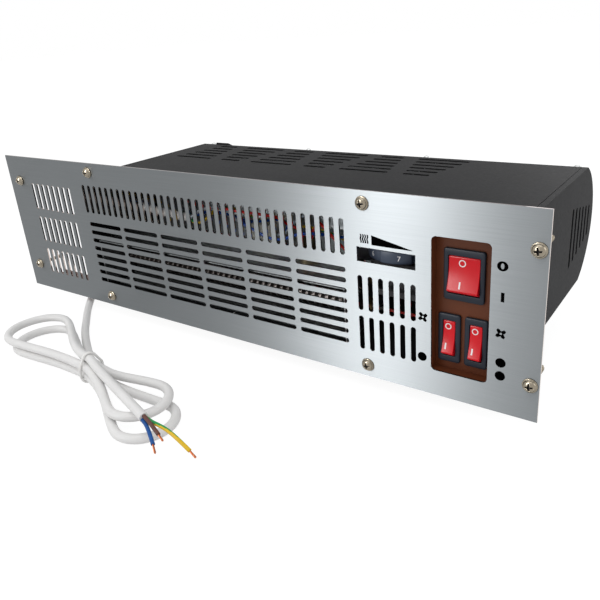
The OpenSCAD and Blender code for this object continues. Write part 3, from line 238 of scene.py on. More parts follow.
def half_lap(side, reach, r, h0, h1, off, w0, w1):
    """Out from the waist, round the end and back, as (along, across, height) in millimetres."""
    s = math.copysign(1, w0)
    foot = reach - r - r * math.sin(flare)
    wide = r * math.cos(flare)
    # length of the curves' handles
    k = foot * 0.42
    bend, lean = foot - k * math.cos(flare) * 0.8, wide - k * math.sin(flare) * 0.8
    out_run = [(0, w0), (k, w0), (bend, off + s * lean), (foot, off + s * wide)]
    back_run = [(foot, off - s * wide), (bend, off - s * lean), (k, w1), (0, w1)]
    base = min(h0, h1)
    # a lap that lies on others sinks a little at its end
    drop = 0.05 if base >= step - 1 else 0
    run = []
    for i in range(7):
        x, w = swept(out_run, i / 7)
        run.append((side * x, w, h0 + (step - h0) * ease(i / 7) if h0 > step else h0))
    for i in range(11):
        b = (math.pi + 2 * flare) * i / 10 - math.pi / 2 - flare
        run.append((side * (reach - r + r * math.cos(b)), off - s * r * math.sin(b),
                    base * (1 - drop * max(0, math.cos(b)) ** 4)))
    for i in range(1, 7):
        x, w = swept(back_run, i / 7)
        run.append((side * x, w, base + (h1 - base) * ease(i / 7)))
    return run


def lap_side(i):
    """Where a strand crosses the waist: odd ones on one side, even ones on the other."""
    return -step / 2 if i % 2 == 1 else step / 2


hank = []
for i, lap in enumerate(laps):
    # the last one comes back on top, over the middle
    hank += half_lap(*lap, lap_side(i), 0.01 if i == 3 else lap_side(i + 1))
for i in range(8):
    hank.append((i / 7 * tail_end[0], i / 7 * tail_end[1],
                 waist_top + (tail_end[2] - waist_top) * ease(i / 7)))


def laid(p):
    """A point of the hank in its place on the floor, raised over the tie at the waist."""
    c, s = math.cos(hank_turn), math.sin(hank_turn)
    return Vector((hank_at[0] + c * p[0] - s * p[1], hank_at[1] + s * p[0] + c * p[1],
                   lie + p[2] + waist_lift * math.exp(-(p[0] / waist_half) ** 2))) * mm


hank = [laid(p) for p in hank]
grip_x = -173.6
# from the grip, x counted from it
hang = [(0, 60, 15), (-5.9, 60, 15), (-14.2, 59.6, 13.7), (-21.9, 58.6, 9.8), (-28, 57.1, 3.2),
        (-31.8, 55.4, -5.6), (-33.4, 53.6, -16.4), (-33.1, 51.3, -29), (-31.4, 48, -42.5),
        (-27.9, 42, -55.2), (-21.9, 33, -65.3), (-14.4, 21.5, lie + 0.9)]
on_floor = [(-178, 9), (-166, -3), (-152.5, -15.3), (-138.3, -27.1), (-124.1, -38.9),
            (-109.1, -49.8), (-95, -59), (-84.8, -65.2), (-74.7, -71.2)]
route = [Vector((x + grip_x, y, z)) * mm for x, y, z in hang]
route += [Vector((x, y, lie)) * mm for x, y in on_floor]
# it rises under the tie and becomes the hank's first strand
away = hank[0] - hank[1]
away.z = 0
away.normalize()
route += [Vector((-64.8, -77, lie + 0.4)) * mm,
          hank[0] + 2 * cord_r * away - Vector((0, 0, 0.35 * mm))] + hank
lead_line = smooth_run(route, 2.2 * mm)

lead_data = bpy.data.curves.new("mains_lead", "CURVE")
lead_data.dimensions = "3D"
spline = lead_data.splines.new("POLY")
spline.points.add(len(lead_line) - 1)
for point, p in zip(spline.points, lead_line):
    point.co = (*p, 1)
lead_data.bevel_depth = cord_r
lead_data.bevel_resolution = 6
lead_data.use_fill_caps = True
lead = bpy.data.objects.new("mains_lead", lead_data)
bpy.context.scene.collection.objects.link(lead)
lead_jacket = surface("lead_jacket", (0.80, 0.79, 0.78), 0.5, gloss=0.2, mottle=0.03, grain=45,
                      bump=0.04)
lead_data.materials.append(lead_jacket)
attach(lead, "heater")
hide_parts("cord_lead", "cord_hank")

# --- Lead tie: one turn of thin white cord drawn round the hank's waist, a little askew. Soft PVC
# over a wire, and its twisted ends are out of sight underneath.
tie_r = 0.95 * mm
tie_gap = 0.35 * mm


def tube(name, points, r, sides):
    """A round tube along points, with flat ends. Each ring turns as little as it can."""
    bm = bmesh.new()
    rings, across = [], None
    for i, p in enumerate(points):
        t = (points[min(i + 1, len(points) - 1)] - points[max(i - 1, 0)]).normalized()
        if across is None:
            across = t.orthogonal().normalized()
        across = (across - t * across.dot(t)).normalized()
        other = t.cross(across)
        rings.append([bm.verts.new(p + r * (math.cos(a) * across + math.sin(a) * other))
                      for a in (2 * math.pi * k / sides for k in range(sides))])
    for a, b in zip(rings, rings[1:]):
        for k in range(sides):
            bm.faces.new((a[k], a[(k + 1) % sides], b[(k + 1) % sides], b[k]))
    bm.faces.new(rings[0][::-1])
    bm.faces.new(rings[-1])
    return piece(name, bm)


def piece(name, bm, smooth=True):
    """Turns a bmesh into an object in the scene, with its faces set outward."""
    bmesh.ops.recalc_face_normals(bm, faces=bm.faces)
    mesh = bpy.data.meshes.new(name)
    bm.to_mesh(mesh)
    bm.free()
    for f in mesh.polygons:
        f.use_smooth = smooth and len(f.vertices) < 5
    o = bpy.data.objects.new(name, mesh)
    bpy.context.scene.collection.objects.link(o)
    return o


def dressed(o, body, slot, finish, *replaced):
    """Gives a new piece its body and its finish, and hides the nodes that it stands for. The slot
    is not used.
    """
    o.data.materials.append(finish)
    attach(o, body)
    if replaced:
        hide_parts(*replaced)
    return o


# the loop goes round five strands, given as (across, height)
loop = []
strands = [(-step / 2, 0), (step / 2, 0), (step / 2, step), (0, waist_top), (-step / 2, step)]
reach = (cord_r + tie_gap + tie_r) / mm
for i, (w, h) in enumerate(strands):
    before, after = strands[i - 1], strands[(i + 1) % 5]
    turn_in = math.atan2(h - before[1], w - before[0]) - math.pi / 2
    turn_out = math.atan2(after[1] - h, after[0] - w) - math.pi / 2
    while turn_out < turn_in:
        turn_out += 2 * math.pi
    for k in range(7):
        a = turn_in + (turn_out - turn_in) * k / 6
        loop.append((w + reach * math.cos(a), h + reach * math.sin(a)))
tie_line = []
for w, h in loop + loop[:1]:
    askew = 0.18 * w
    level = h + waist_lift - waist_lift * math.exp(-(askew / waist_half) ** 2)
    tie_line.append(laid((askew, w, level)))
tie = tube("lead_tie", tie_line, tie_r, 12)
tie_plastic = surface("tie_plastic", (0.84, 0.83, 0.81), 0.5, gloss=0.2, mottle=0.04, grain=80,
                      bump=0.05)
dressed(tie, "heater", "lead_jacket", tie_plastic, "cord_tie")

# --- Stripped cores: blue, brown and green-and-yellow PVC on stranded copper, cut back to three
# lengths for wiring. Each starts inside the jacket's end, and a bare twist of copper ends it.
core_r, core_ring = 1.25 * mm, 1.6 * mm
jacket_end = 0.3 * mm
tail_to = (hank[-1] - hank[-2]).normalized()
tail_side = tail_to.cross(Vector((0, 0, 1))).normalized()
tail_up = tail_side.cross(tail_to)


def core_run(degrees, points):
    """A core's route, from its place in the jacket's end at an angle round the middle."""
    a = math.radians(degrees)
    aside = core_ring * (math.cos(a) * tail_side + math.sin(a) * tail_up)
    return [hank[-1] + jacket_end * tail_to + aside] + [Vector(p) * mm for p in points]


def striped(tube_object, sides, twist, width, shift=0):
    """Winds a green stripe, some sides wide, round a yellow tube."""
    tube_object.data.materials.append(green)
    for f in tube_object.data.polygons:
        if len(f.vertices) == 4:
            ring, k = divmod(f.index, sides)
            f.material_index = 1 if (k + ring * twist + shift) % sides < width else 0


blue_run = core_run(-30, [(50.5, -122.9, -58.7), (56, -125.9, -59), (61, -128.9, -59.9),
                          (66.4, -132.2, -61.4)])
brown_run = core_run(90, [(51.5, -121.4, -56.6), (57.5, -123.4, -57.6), (64.2, -125.4, -59.6)])
earth_run = core_run(210, [(52.5, -119.4, -58.2), (60, -120.6, -57.4), (68, -121.9, -57),
                           (77, -123.2, -58.6), (87.3, -123.4, -64)])
tips = [(72, -136, -63), (69.6, -127.3, -60.8), (91.9, -123.7, -67)]

core_sides = 20
core_blue = tube("core_blue_pvc", smooth_run(blue_run, 1.2 * mm), core_r, core_sides)
blue = surface("core_blue", (0.012, 0.085, 0.31), 0.45, mottle=0.06, grain=90, gloss=0.2)
dressed(core_blue, "heater", "core_blue", blue, "core_blue")
core_brown = tube("core_brown_pvc", smooth_run(brown_run, 1.2 * mm), core_r, core_sides)
brown = surface("core_brown", (0.13, 0.055, 0.042), 0.45, mottle=0.08, grain=90, gloss=0.2)
dressed(core_brown, "heater", "core_brown", brown, "core_brown")
core_earth = tube("core_earth_pvc", smooth_run(earth_run, 1.2 * mm), core_r, core_sides)
yellow = surface("core_yellow", (0.74, 0.48, 0.02), 0.45, mottle=0.04, grain=90, gloss=0.2)
green = surface("core_green", (0.02, 0.32, 0.08), 0.45, mottle=0.06, grain=90, gloss=0.2)
dressed(core_earth, "heater", "core_earth", yellow, "core_earth")
striped(core_earth, core_sides, 0.22, 8, 1)

# six strands twisted round a seventh, fanning out a little and cut unevenly
strand_r, twist_r, turns = 0.22 * mm, 0.42 * mm, 1.2
copper_bm = bmesh.new()
for run, end in zip((blue_run, brown_run, earth_run), tips):
    start, stop = run[-1] - 0.4 * mm * (run[-1] - run[-2]).normalized(), Vector(end) * mm
    t = (stop - start).normalized()
    u = t.orthogonal().normalized()
    v = t.cross(u)
    for s in range(7):
        rings = []
        for i in range(25):
            q = i / 24
            a = 2 * math.pi * (s / 6 + q * turns)
            spread = 0 if s == 6 else twist_r * (1 + 0.25 * q)
            c = start.lerp(stop, q * (1 - 0.03 * (s % 3)))
            c += spread * (math.cos(a) * u + math.sin(a) * v)
            rings.append([copper_bm.verts.new(c + strand_r * (math.cos(b) * u + math.sin(b) * v))
                          for b in (2 * math.pi * k / 6 for k in range(6))])
        for a, b in zip(rings, rings[1:]):
            for k in range(6):
                copper_bm.faces.new((a[k], a[(k + 1) % 6], b[(k + 1) % 6], b[k]))
        copper_bm.faces.new(rings[0][::-1])
        copper_bm.faces.new(rings[-1])
copper_ends = piece("copper_ends", copper_bm)
copper = surface("copper", (0.58, 0.20, 0.09), 0.34, metal=1.0, mottle=0.15, grain=300)
dressed(copper_ends, "heater", "copper", copper, "core_tips")


def coat(finish, *names):
    """Puts a finish on nodes whose shape is already right."""
    for name in names:
        node[name].data.materials.clear()
        node[name].data.materials.append(finish)


# --- Cord grip: a black moulded rubber boot, ribbed so that it bends, and snapped into the left
# end cap.
coat(surface("grip_rubber", (0.018, 0.018, 0.02), 0.55, mottle=0.2, grain=70, bump=0.12),
     "cord_grip")

# --- Fascia: 1.2 mm stainless sheet, brushed along its length, with its slots and windows punched
# out. The cut walls are smooth enough to mirror what lies behind them, with a faint brown tint, and
# the level ones, which look up or down, are coloured far darker: painted shade.
fascia_steel = bpy.data.materials.new("fascia_steel")
fascia_steel.use_nodes = True
n, l = fascia_steel.node_tree.nodes, fascia_steel.node_tree.links
b = n["Principled BSDF"]
b.inputs["Metallic"].default_value = 1.0
b.inputs["Anisotropic"].default_value = 1.0
where = n.new("ShaderNodeTexCoord")
along = n.new("ShaderNodeMapping")
along.inputs["Scale"].default_value = (16, 16, 2200)
hair = n.new("ShaderNodeTexNoise")
hair.inputs["Scale"].default_value = 1
hair.inputs["Detail"].default_value = 5
cloud = n.new("ShaderNodeTexNoise")
cloud.inputs["Scale"].default_value = 9
grey = n.new("ShaderNodeValToRGB")
grey.color_ramp.elements[0].position, grey.color_ramp.elements[1].position = 0.3, 0.7
grey.color_ramp.elements[0].color = (0.216, 0.231, 0.240, 1)
grey.color_ramp.elements[1].color = (0.238, 0.253, 0.261, 1)
polish = n.new("ShaderNodeMapRange")
polish.inputs["To Min"].default_value, polish.inputs["To Max"].default_value = 0.45, 0.52
lines = n.new("ShaderNodeBump")
lines.inputs["Strength"].default_value = 0.06
lines.inputs["Distance"].default_value = 0.0001
grain_way = n.new("ShaderNodeTangent")
grain_way.direction_type, grain_way.axis = "RADIAL", "X"
# a face that doesn't look along Y is a cut wall, and one that looks up or down is a level wall.
# A Mix node takes numbers at its sockets 2 and 3, and colours at 6 and 7
facing = n.new("ShaderNodeNewGeometry")
split = n.new("ShaderNodeSeparateXYZ")
flat = n.new("ShaderNodeMath")
flat.operation = "ABSOLUTE"
wall = n.new("ShaderNodeMath")
wall.operation = "LESS_THAN"
wall.inputs[1].default_value = 0.5
front_or_shaded_wall = n.new("ShaderNodeMix")
front_or_shaded_wall.data_type = "RGBA"
level = n.new("ShaderNodeMath")
level.operation = "ABSOLUTE"
# the level walls are coloured far darker than the upright ones: painted shade
wall_tint_and_level_shade = n.new("ShaderNodeMix")
wall_tint_and_level_shade.data_type = "RGBA"
wall_tint_and_level_shade.inputs[6].default_value = (0.66, 0.56, 0.51, 1)
wall_tint_and_level_shade.inputs[7].default_value = (0.16, 0.13, 0.125, 1)
smoothed = n.new("ShaderNodeMix")
smoothed.inputs[3].default_value = 0.09
l.new(where.outputs["Object"], along.inputs["Vector"])
l.new(along.outputs["Vector"], hair.inputs["Vector"])
l.new(where.outputs["Object"], cloud.inputs["Vector"])
l.new(hair.outputs["Fac"], grey.inputs["Fac"])
l.new(cloud.outputs["Fac"], polish.inputs["Value"])
l.new(wall.outputs[0], smoothed.inputs[0])
l.new(polish.outputs["Result"], smoothed.inputs[2])
l.new(smoothed.outputs[0], b.inputs["Roughness"])
l.new(hair.outputs["Fac"], lines.inputs["Height"])
l.new(lines.outputs["Normal"], b.inputs["Normal"])
l.new(grain_way.outputs["Tangent"], b.inputs["Tangent"])
l.new(facing.outputs["True Normal"], split.inputs[0])
l.new(split.outputs["Y"], flat.inputs[0])
l.new(flat.outputs[0], wall.inputs[0])
l.new(split.outputs["Z"], level.inputs[0])
l.new(level.outputs[0], wall_tint_and_level_shade.inputs[0])
l.new(wall_tint_and_level_shade.outputs[2], front_or_shaded_wall.inputs[7])
l.new(wall.outputs[0], front_or_shaded_wall.inputs[0])
l.new(grey.outputs["Color"], front_or_shaded_wall.inputs[6])
l.new(front_or_shaded_wall.outputs[2], b.inputs["Base Color"])
coat(fascia_steel, "fascia")

# --- Lower rail: a folded strip of brown-painted steel behind the fascia's lower edge, which shows
# through the bottom ends of the left grille.
coat(surface("rail_paint", (0.12, 0.05, 0.035), 0.45, mottle=0.15, grain=40, bump=0.06),
     "lower_rail")

# --- Fascia screws: zinc-plated, yellow-passivated pan heads with a rolled flange and a cross
# recess. Four long ones go into the plinth near the corners, four short ones hold the fascia to
# the body. Headed and thread-rolled from wire.
zinc = surface("zinc_yellow", (0.28, 0.245, 0.19), 0.22, metal=1.0, mottle=0.06, grain=120,
               bump=0.0)
front_y = -1.2 * mm


def dome(u, r, h):
    """Height of the pan head at radius u: a thin flange with a round edge, then the dome."""
    rim, flat_to, foot = 0.84 * r, 0.92 * r, 0.24 * h
    if u > flat_to:
        return foot * math.sqrt(max(0, 1 - ((u - flat_to) / (r - flat_to)) ** 2))
    if u >= rim:
        return foot
    return foot + (h - foot) * math.sqrt(max(0, 1 - (u / rim) ** 2.2))


def recess(x, y, r, h):
    """Depth of the cross recess: four tapered wings that meet in a small pit."""
    depth = 0
    for a, c in ((x, y), (y, x)):
        length, width = 0.50 * r, 0.085 * r + 0.03 * r * max(0, 1 - abs(a) / (0.5 * r))
        if abs(a) < length:
            wing = min(1, (width * 1.35 - abs(c)) / (width * 0.5))
            if wing > 0:
                depth = max(depth, wing * h * (0.30 + 0.45 * (1 - abs(a) / length)))
    pit = 0.17 * r - math.hypot(x, y)
    return max(depth, h * 0.75 * min(1, pit / (0.06 * r)) if pit > 0 else 0)


def screw(bm, at, out, head_r, head_h, shank_r, length, neck, pitch=1.5 * mm):
    """A pan-head screw: head above the seat at its place, threaded shank below it. Its second
    material, near black, goes inside the cross as painted shade."""
    turn = Vector(out).to_track_quat("Z", "Y").to_matrix().to_4x4()
    driven_to = 0.12  # radians
    place = Matrix.Translation(at) @ turn @ Matrix.Rotation(driven_to, 4, "Z")
    around, radii = 96, 44
    ring0 = None
    top = bm.verts.new(place @ Vector((0, 0, head_h * 0.25)))
    for j in range(1, radii + 1):
        u = head_r * j / radii
        ring = []
        for k in range(around):
            a = 2 * math.pi * k / around
            x, y = u * math.cos(a), u * math.sin(a)
            z = dome(u, head_r, head_h) - (recess(x, y, head_r, head_h) if j < radii * 0.62 else 0)
            ring.append(bm.verts.new(place @ Vector((x, y, max(0, z)))))
        if ring0:
            for k in range(around):
                m = (k + 1) % around
                f = bm.faces.new((ring0[k], ring[k], ring[m], ring0[m]))
                a = 2 * math.pi * (k + 0.5) / around
                middle = u - 0.5 * head_r / radii
                deep = recess(middle * math.cos(a), middle * math.sin(a), head_r, head_h)
                # faces deep in the cross take the near-black second material: painted shade in the
                # recess
                f.material_index = deep > 0.12 * head_h
        else:
            for k in range(around):
                bm.faces.new((top, ring[k], ring[(k + 1) % around])).material_index = 1
        ring0 = ring
    edge = ring0
    # the plain neck, then seven rings to each turn of the thread, down to a blunt point
    shank, rows = 24, int((length - neck) / pitch * 7)
    levels = [(0.0, None), (-neck, None)]
    levels += [(-neck - (length - neck) * i / rows, i / rows) for i in range(1, rows + 1)]
    ring0 = None
    for z, q in levels:
        ring = []
        for k in range(shank):
            a = 2 * math.pi * k / shank
            if q is None:
                u = shank_r * 0.82
            else:
                phase = (z / pitch + k / shank) % 1
                crest = max(0, 1 - abs(phase - 0.5) / 0.30)
                end = min(1, (1 - q) / 0.14)
                u = (shank_r * 0.70 + shank_r * 0.30 * crest) * (0.15 + 0.85 * end)
            ring.append(bm.verts.new(place @ Vector((u * math.cos(a), u * math.sin(a), z))))
        if ring0:
            for k in range(shank):
                bm.faces.new((ring0[k], ring[k], ring[(k + 1) % shank], ring0[(k + 1) % shank]))
        else:
            first = ring
        ring0 = ring
    bm.faces.new(ring0)
    # the head's underside, from its edge to the shank
    each = around // shank
    for k in range(shank):
        e = [edge[(k * each + i) % around] for i in range(each + 1)]
        bm.faces.new([first[(k + 1) % shank], first[k]] + e)


# near black for the faces deep in the cross recess: painted shade
cross_painted_shade = surface("cross_painted_shade", (0.025, 0.022, 0.02), 0.5, metal=0.5, mottle=0.2, grain=200)
# (name, length, neck, the two places along and the two heights)
for name, length, neck, xs, zs in (("fixing_screw", 26, 1.2, (-234.5, 244.5), (42, -41)),
                                   ("fascia_screw", 9, 1, (-130, 136.5), (57, -55.95))):
    bm = bmesh.new()
    for x in xs:
        for z in zs:
            screw(bm, Vector((x * mm, front_y, z * mm)), (0, -1, 0), 4.7 * mm, 3.4 * mm, 2 * mm,
                  length * mm, neck * mm)
    dressed(piece(name + "_set", bm), "heater", "zinc_screw", zinc,
            name + "s").data.materials.append(cross_painted_shade)

# --- Printed marks: black ink screened on the fascia beside the controls. Heat waves and a wedge
# stand over the thermostat, and a ring, a bar, two fans and dots stand beside the rockers.
ink_proud, ink_sunk = 0.04 * mm, 0.02 * mm
ink_bm = bmesh.new()


def ink(outline):
    """Prints one flat mark: an outline of (x, z) in millimetres, a hair proud of the sheet."""
    low = [ink_bm.verts.new((x * mm, front_y + ink_sunk, z * mm)) for x, z in outline]
    high = [ink_bm.verts.new((x * mm, front_y - ink_proud, z * mm)) for x, z in outline]
    ink_bm.faces.new(high)
    ink_bm.faces.new(low[::-1])
    for k in range(len(outline)):
        m = (k + 1) % len(outline)
        ink_bm.faces.new((low[k], low[m], high[m], high[k]))


def band(x, z, outer, hole):
    """Prints an oval ring in quads, from its outer and its inner half sizes."""
    parts = 36
    for k in range(parts):
        a, c = (2 * math.pi * (k + j) / parts for j in (0, 1))
        ink([(x + rx * math.cos(t), z + rz * math.sin(t))
             for t, (rx, rz) in ((a, hole), (a, outer), (c, outer), (c, hole))])


# four heat waves
half = 0.52
for i in range(4):
    wave = [(134.7 + 1.6 * i + 0.26 * math.sin(2 * math.pi * q / 12 * 1.6), 31.2 + 5.8 * q / 12)
            for q in range(13)]
    for (x0, z0), (x1, z1) in zip(wave, wave[1:]):
        ink([(x0 - half, z0), (x0 + half, z0), (x1 + half, z1), (x1 - half, z1)])
# the wedge, the dots, the ring and the bar
ink([(142.3, 30.6), (170.3, 30.6), (170.3, 30.9), (142.3, 37.0)])
dot_r = 3.1
for x, z in ((176.6, -39.4), (226.7, -30.8), (226.7, -39.6)):
    ink([(x + dot_r * math.cos(2 * math.pi * k / 40), z + dot_r * math.sin(2 * math.pi * k / 40))
         for k in range(40)])
band(225.3, 29.8, (3.2, 2.95), (1.0, 1.75))
ink([(225.1, 8.2), (227.1, 8.2), (227.1, 14.0), (225.1, 14.0)])
# two fans of four blades
for x, z in ((177.1, -11.5), (226.0, -11.8)):
    band(x, z, (1.5, 1.5), (0.7, 0.7))
    for q in range(4):
        a = math.radians(90 * q + 38)
        c, s = math.cos(a), math.sin(a)
        blade = [(1.0, -1.0), (2.3, -1.2), (3.6, -0.5), (3.2, 0.9), (2.2, 1.0), (0.9, 1.3)]
        ink([(x + c * u - s * v, z + s * u + c * v) for u, v in blade])
black_ink = surface("black_ink", (0.001, 0.001, 0.001), 0.8, mottle=0.2, grain=200, gloss=0.0)
dressed(piece("printed_marks", ink_bm, smooth=False), "heater", "black_rubber", black_ink)

# --- Body: 0.8 mm steel, folded and rolled, then powder coated black inside and out. The cover
# and the shell meet behind, and an end cap closes each end.
powder_black = surface("powder_black", (0.013, 0.013, 0.014), 0.55, mottle=0.12, grain=30,
                       bump=0.08, gloss=0.05)
coat(powder_black, "top_cover", "back_shell", "end_cap_left", "end_cap_right")
# on the round back, 30 degrees behind straight up
back_y, body_mid, back_r = 139.5, 7, 48
leans = math.radians(30)
cover_bm = bmesh.new()
for k in range(4):
    x = -139 + 363 * k / 3
    at = Vector((x, back_y + back_r * math.sin(leans), body_mid + back_r * math.cos(leans))) * mm
    screw(cover_bm, at, (0, math.sin(leans), math.cos(leans)), 3.5 * mm, 2.8 * mm, 1.5 * mm, 4 * mm,
          0.5 * mm, mm)
nickel = surface("bright_zinc", (0.62, 0.63, 0.63), 0.24, metal=1.0, mottle=0.12, grain=400)
dressed(piece("cover_screw_set", cover_bm), "heater", "bright_steel", nickel,
        "cover_screws").data.materials.append(cross_painted_shade)
rail_bm = bmesh.new()
for x in (-110, 10, 130):
    screw(rail_bm, Vector((x, 7.5, -50)) * mm, (0, 0, -1), 3 * mm, 2 * mm, 1.5 * mm, 3.2 * mm,
          1 * mm, mm)
dressed(piece("rail_screw_set", rail_bm), "heater", "bright_steel", nickel,
        "rail_screws").data.materials.append(cross_painted_shade)

# --- Duct: plain galvanised sheet. Two plates carry the fan and the elements, a roof and a curved
# guide lead the air down and out at the front.
galvanised = surface("galvanised", (0.36, 0.38, 0.39), 0.38, metal=1.0, mottle=0.18, grain=55,
                     bump=0.05)
coat(galvanised, "duct_plate_left", "duct_plate_right", "air_guide", "duct_roof")

# --- Fan: a blackened aluminium impeller of curved blades between discs, on a pin that runs in a
# sintered bronze bearing held by a rubber bush.
fan_black = surface("fan_black", (0.035, 0.036, 0.04), 0.38, metal=0.6, mottle=0.15, grain=90)
coat(fan_black, "impeller")
bright_steel = surface("bright_steel", (0.55, 0.56, 0.57), 0.22, metal=1.0, mottle=0.08, grain=200)
coat(bright_steel, "impeller_pin", "motor_shaft", "thermostat_spindle", "motor_spacers")
coat(surface("bush_rubber", (0.02, 0.02, 0.022), 0.6, mottle=0.2, grain=90, bump=0.1),
     "impeller_bush")
coat(surface("sintered_bronze", (0.42, 0.27, 0.13), 0.45, metal=1.0, mottle=0.2, grain=900,
             bump=0.2), "impeller_bearing", "motor_bearings")

# --- Motor: a shaded-pole motor. Its core is a stack of stamped laminations, its winding is taped,
# and two pressed bridges carry the bearings.
core_steel = surface("core_steel", (0.22, 0.22, 0.23), 0.42, metal=0.9, mottle=0.12, grain=2,
                     bump=0.5, streak=(450, 4, 4))
coat(core_steel, "motor_core", "motor_rotor")
coat(surface("coil_tape", (0.45, 0.30, 0.06), 0.42, mottle=0.12, grain=60, bump=0.15), "motor_coil")
coat(bright_steel, "motor_bridge_inner", "motor_bridge_outer")
coat(nickel, "motor_screws", "bracket_screws")

# --- Elements: steel-sheathed heating rods with pressed-on fins, blued by heat, and brass nuts.
coat(surface("element_steel", (0.20, 0.18, 0.17), 0.4, metal=0.9, mottle=0.3, grain=25),
     "element_upper", "element_lower")
coat(surface("brass", (0.62, 0.44, 0.16), 0.32, metal=1.0, mottle=0.12, grain=90), "element_nuts",
     "terminal_screws")
coat(surface("cutout_case", (0.30, 0.24, 0.14), 0.4, metal=0.7, mottle=0.15, grain=120),
     "thermal_cutout")

# --- Mains connection: a moulded terminal block, its brass screws, and the plated earth post.
coat(surface("block_plastic", (0.68, 0.66, 0.58), 0.45, mottle=0.05, grain=60), "terminal_block")
coat(bright_steel, "earth_post")

# --- Wires: the mains lead runs on inside the body, close behind the upper grille, to where its
# jacket is stripped. Its cores go to the terminal block, and PVC hook-up wire goes on from there.
wire_r = 1.1 * mm
body_x0, block_x0, block_x1, duct_x1 = -147.5, -6.0, 14.0, 117.5
pole_in, pole_out, pole_z = block_x0 + 1.5, block_x1 - 1.5, 1
pole_y = (63, 73, 83)
tag_y, tag_z = 31.4, (17.1, -25.8)
cutout_x, cutout_y, tab_z = 60, 45, 10.3
tail = [(body_x0 + x, y, z) for x, y, z in
        [(3.5, 60, 15), (9.5, 60, 15), (17, 58, 15.4), (26, 51, 17.2), (36.5, 38, 21.5),
         (48, 25, 25.5), (61, 16, 27.8), (76, 11.5, 28.4), (92, 10, 27.6), (106, 10.4, 26.4),
         (117.5, 13, 24.6)]]


def run_of(*points):
    """A wire's smooth run through points in millimetres."""
    return smooth_run([Vector(p) * mm for p in points], 2 * mm)


def at_tail(x, y, z):
    """A point counted from the jacket's end."""
    return (tail[-1][0] + x, tail[-1][1] + y, tail[-1][2] + z)


def to_block(x, y, z):
    """A point counted from the terminal block's near side."""
    return (block_x0 + x, y, z)


def at_block(x, y, z):
    """A point counted from the terminal block's far side."""
    return (block_x1 + x, y, z)


def at_duct(x, y, z):
    """A point counted from the duct's right end."""
    return (duct_x1 + x, y, z)


dressed(tube("lead_tail_jacket", run_of(*tail), cord_r, 24), "heater", "lead_jacket", lead_jacket,
        "lead_tail")
live_runs = [
    run_of(at_tail(1, -1, 0.6), at_tail(5.5, -1.2, 3), at_tail(12, 1.5, 7.5), at_tail(18, 8, 8.8),
           to_block(-4.5, 32, 29), to_block(-2.5, 44, 16), to_block(-2.5, 55, 6),
           to_block(-2, 61, 2), (pole_in, pole_y[0], pole_z)),
    run_of((pole_out, pole_y[0], pole_z), at_block(4, 63, 1.5), at_block(9, 63, 3),
           at_block(17, 60, 9), at_block(29, 56, 19), at_block(46, 52, 28.5),
           at_duct(-32.5, 51, 33), at_duct(-7.5, 52, 32.5), at_duct(22.5, 55, 31.5),
           at_duct(52.5, 50, 31), (190, 42, 29), (200, 37, tag_z[0] + 10.1),
           (200.5, tag_y, tag_z[0] + 10))]
neutral_runs = [
    run_of(at_tail(1, 1.4, 0.5), at_tail(4, 4.5, 1.8), at_tail(6.5, 12, 2.2), at_tail(8.5, 24, -1),
           at_tail(12, 39, -8.5), to_block(-7, 66, 7), to_block(-2.5, 71.5, 2),
           (pole_in, pole_y[1], pole_z)),
    run_of((pole_out, pole_y[1], pole_z), at_block(4, 73, 2.5), at_block(7, 70.5, 9),
           at_block(8.5, 62, 15), at_block(8.5, 50, 18.5), at_block(7, 38, 20.5),
           at_block(5, 28, 23.5), at_block(6.5, 18, 25.5), at_block(13, 14, 25),
           at_block(23, 13, 22), at_block(35, 13, 18.5), at_block(47, 13, 19),
           at_block(57, 14, 23), at_block(66, 17, 24.5), at_block(74, 26, 22),
           at_block(82, 42, 16), at_duct(-13.5, 60, 11), at_duct(0.5, 69, 9),
           at_duct(16.5, 73, 8), (141, 77, 8), (141, 80.4, 8))]
earth_runs = [
    run_of(at_tail(1, 0, -1.5), at_tail(6, -0.5, -3.2), at_tail(13, -1, -1.5), at_tail(18, 3, 2.5),
           at_tail(17, 11, 5), at_tail(12.5, 22, 3), at_tail(10, 36, 0), to_block(-14, 66, 15),
           to_block(-9.5, 77, 7), to_block(-3, 82, 2.2), (pole_in, pole_y[2], pole_z)),
    run_of((pole_out, pole_y[2], pole_z), at_block(5, 83, 2), at_block(16, 83, 4),
           at_block(36, 80, 4), at_duct(-42.5, 70, 3.5), at_duct(-25.5, 58, 3.5),
           at_duct(-15.5, 50, 3.5), (106, 42.4, 3.5))]
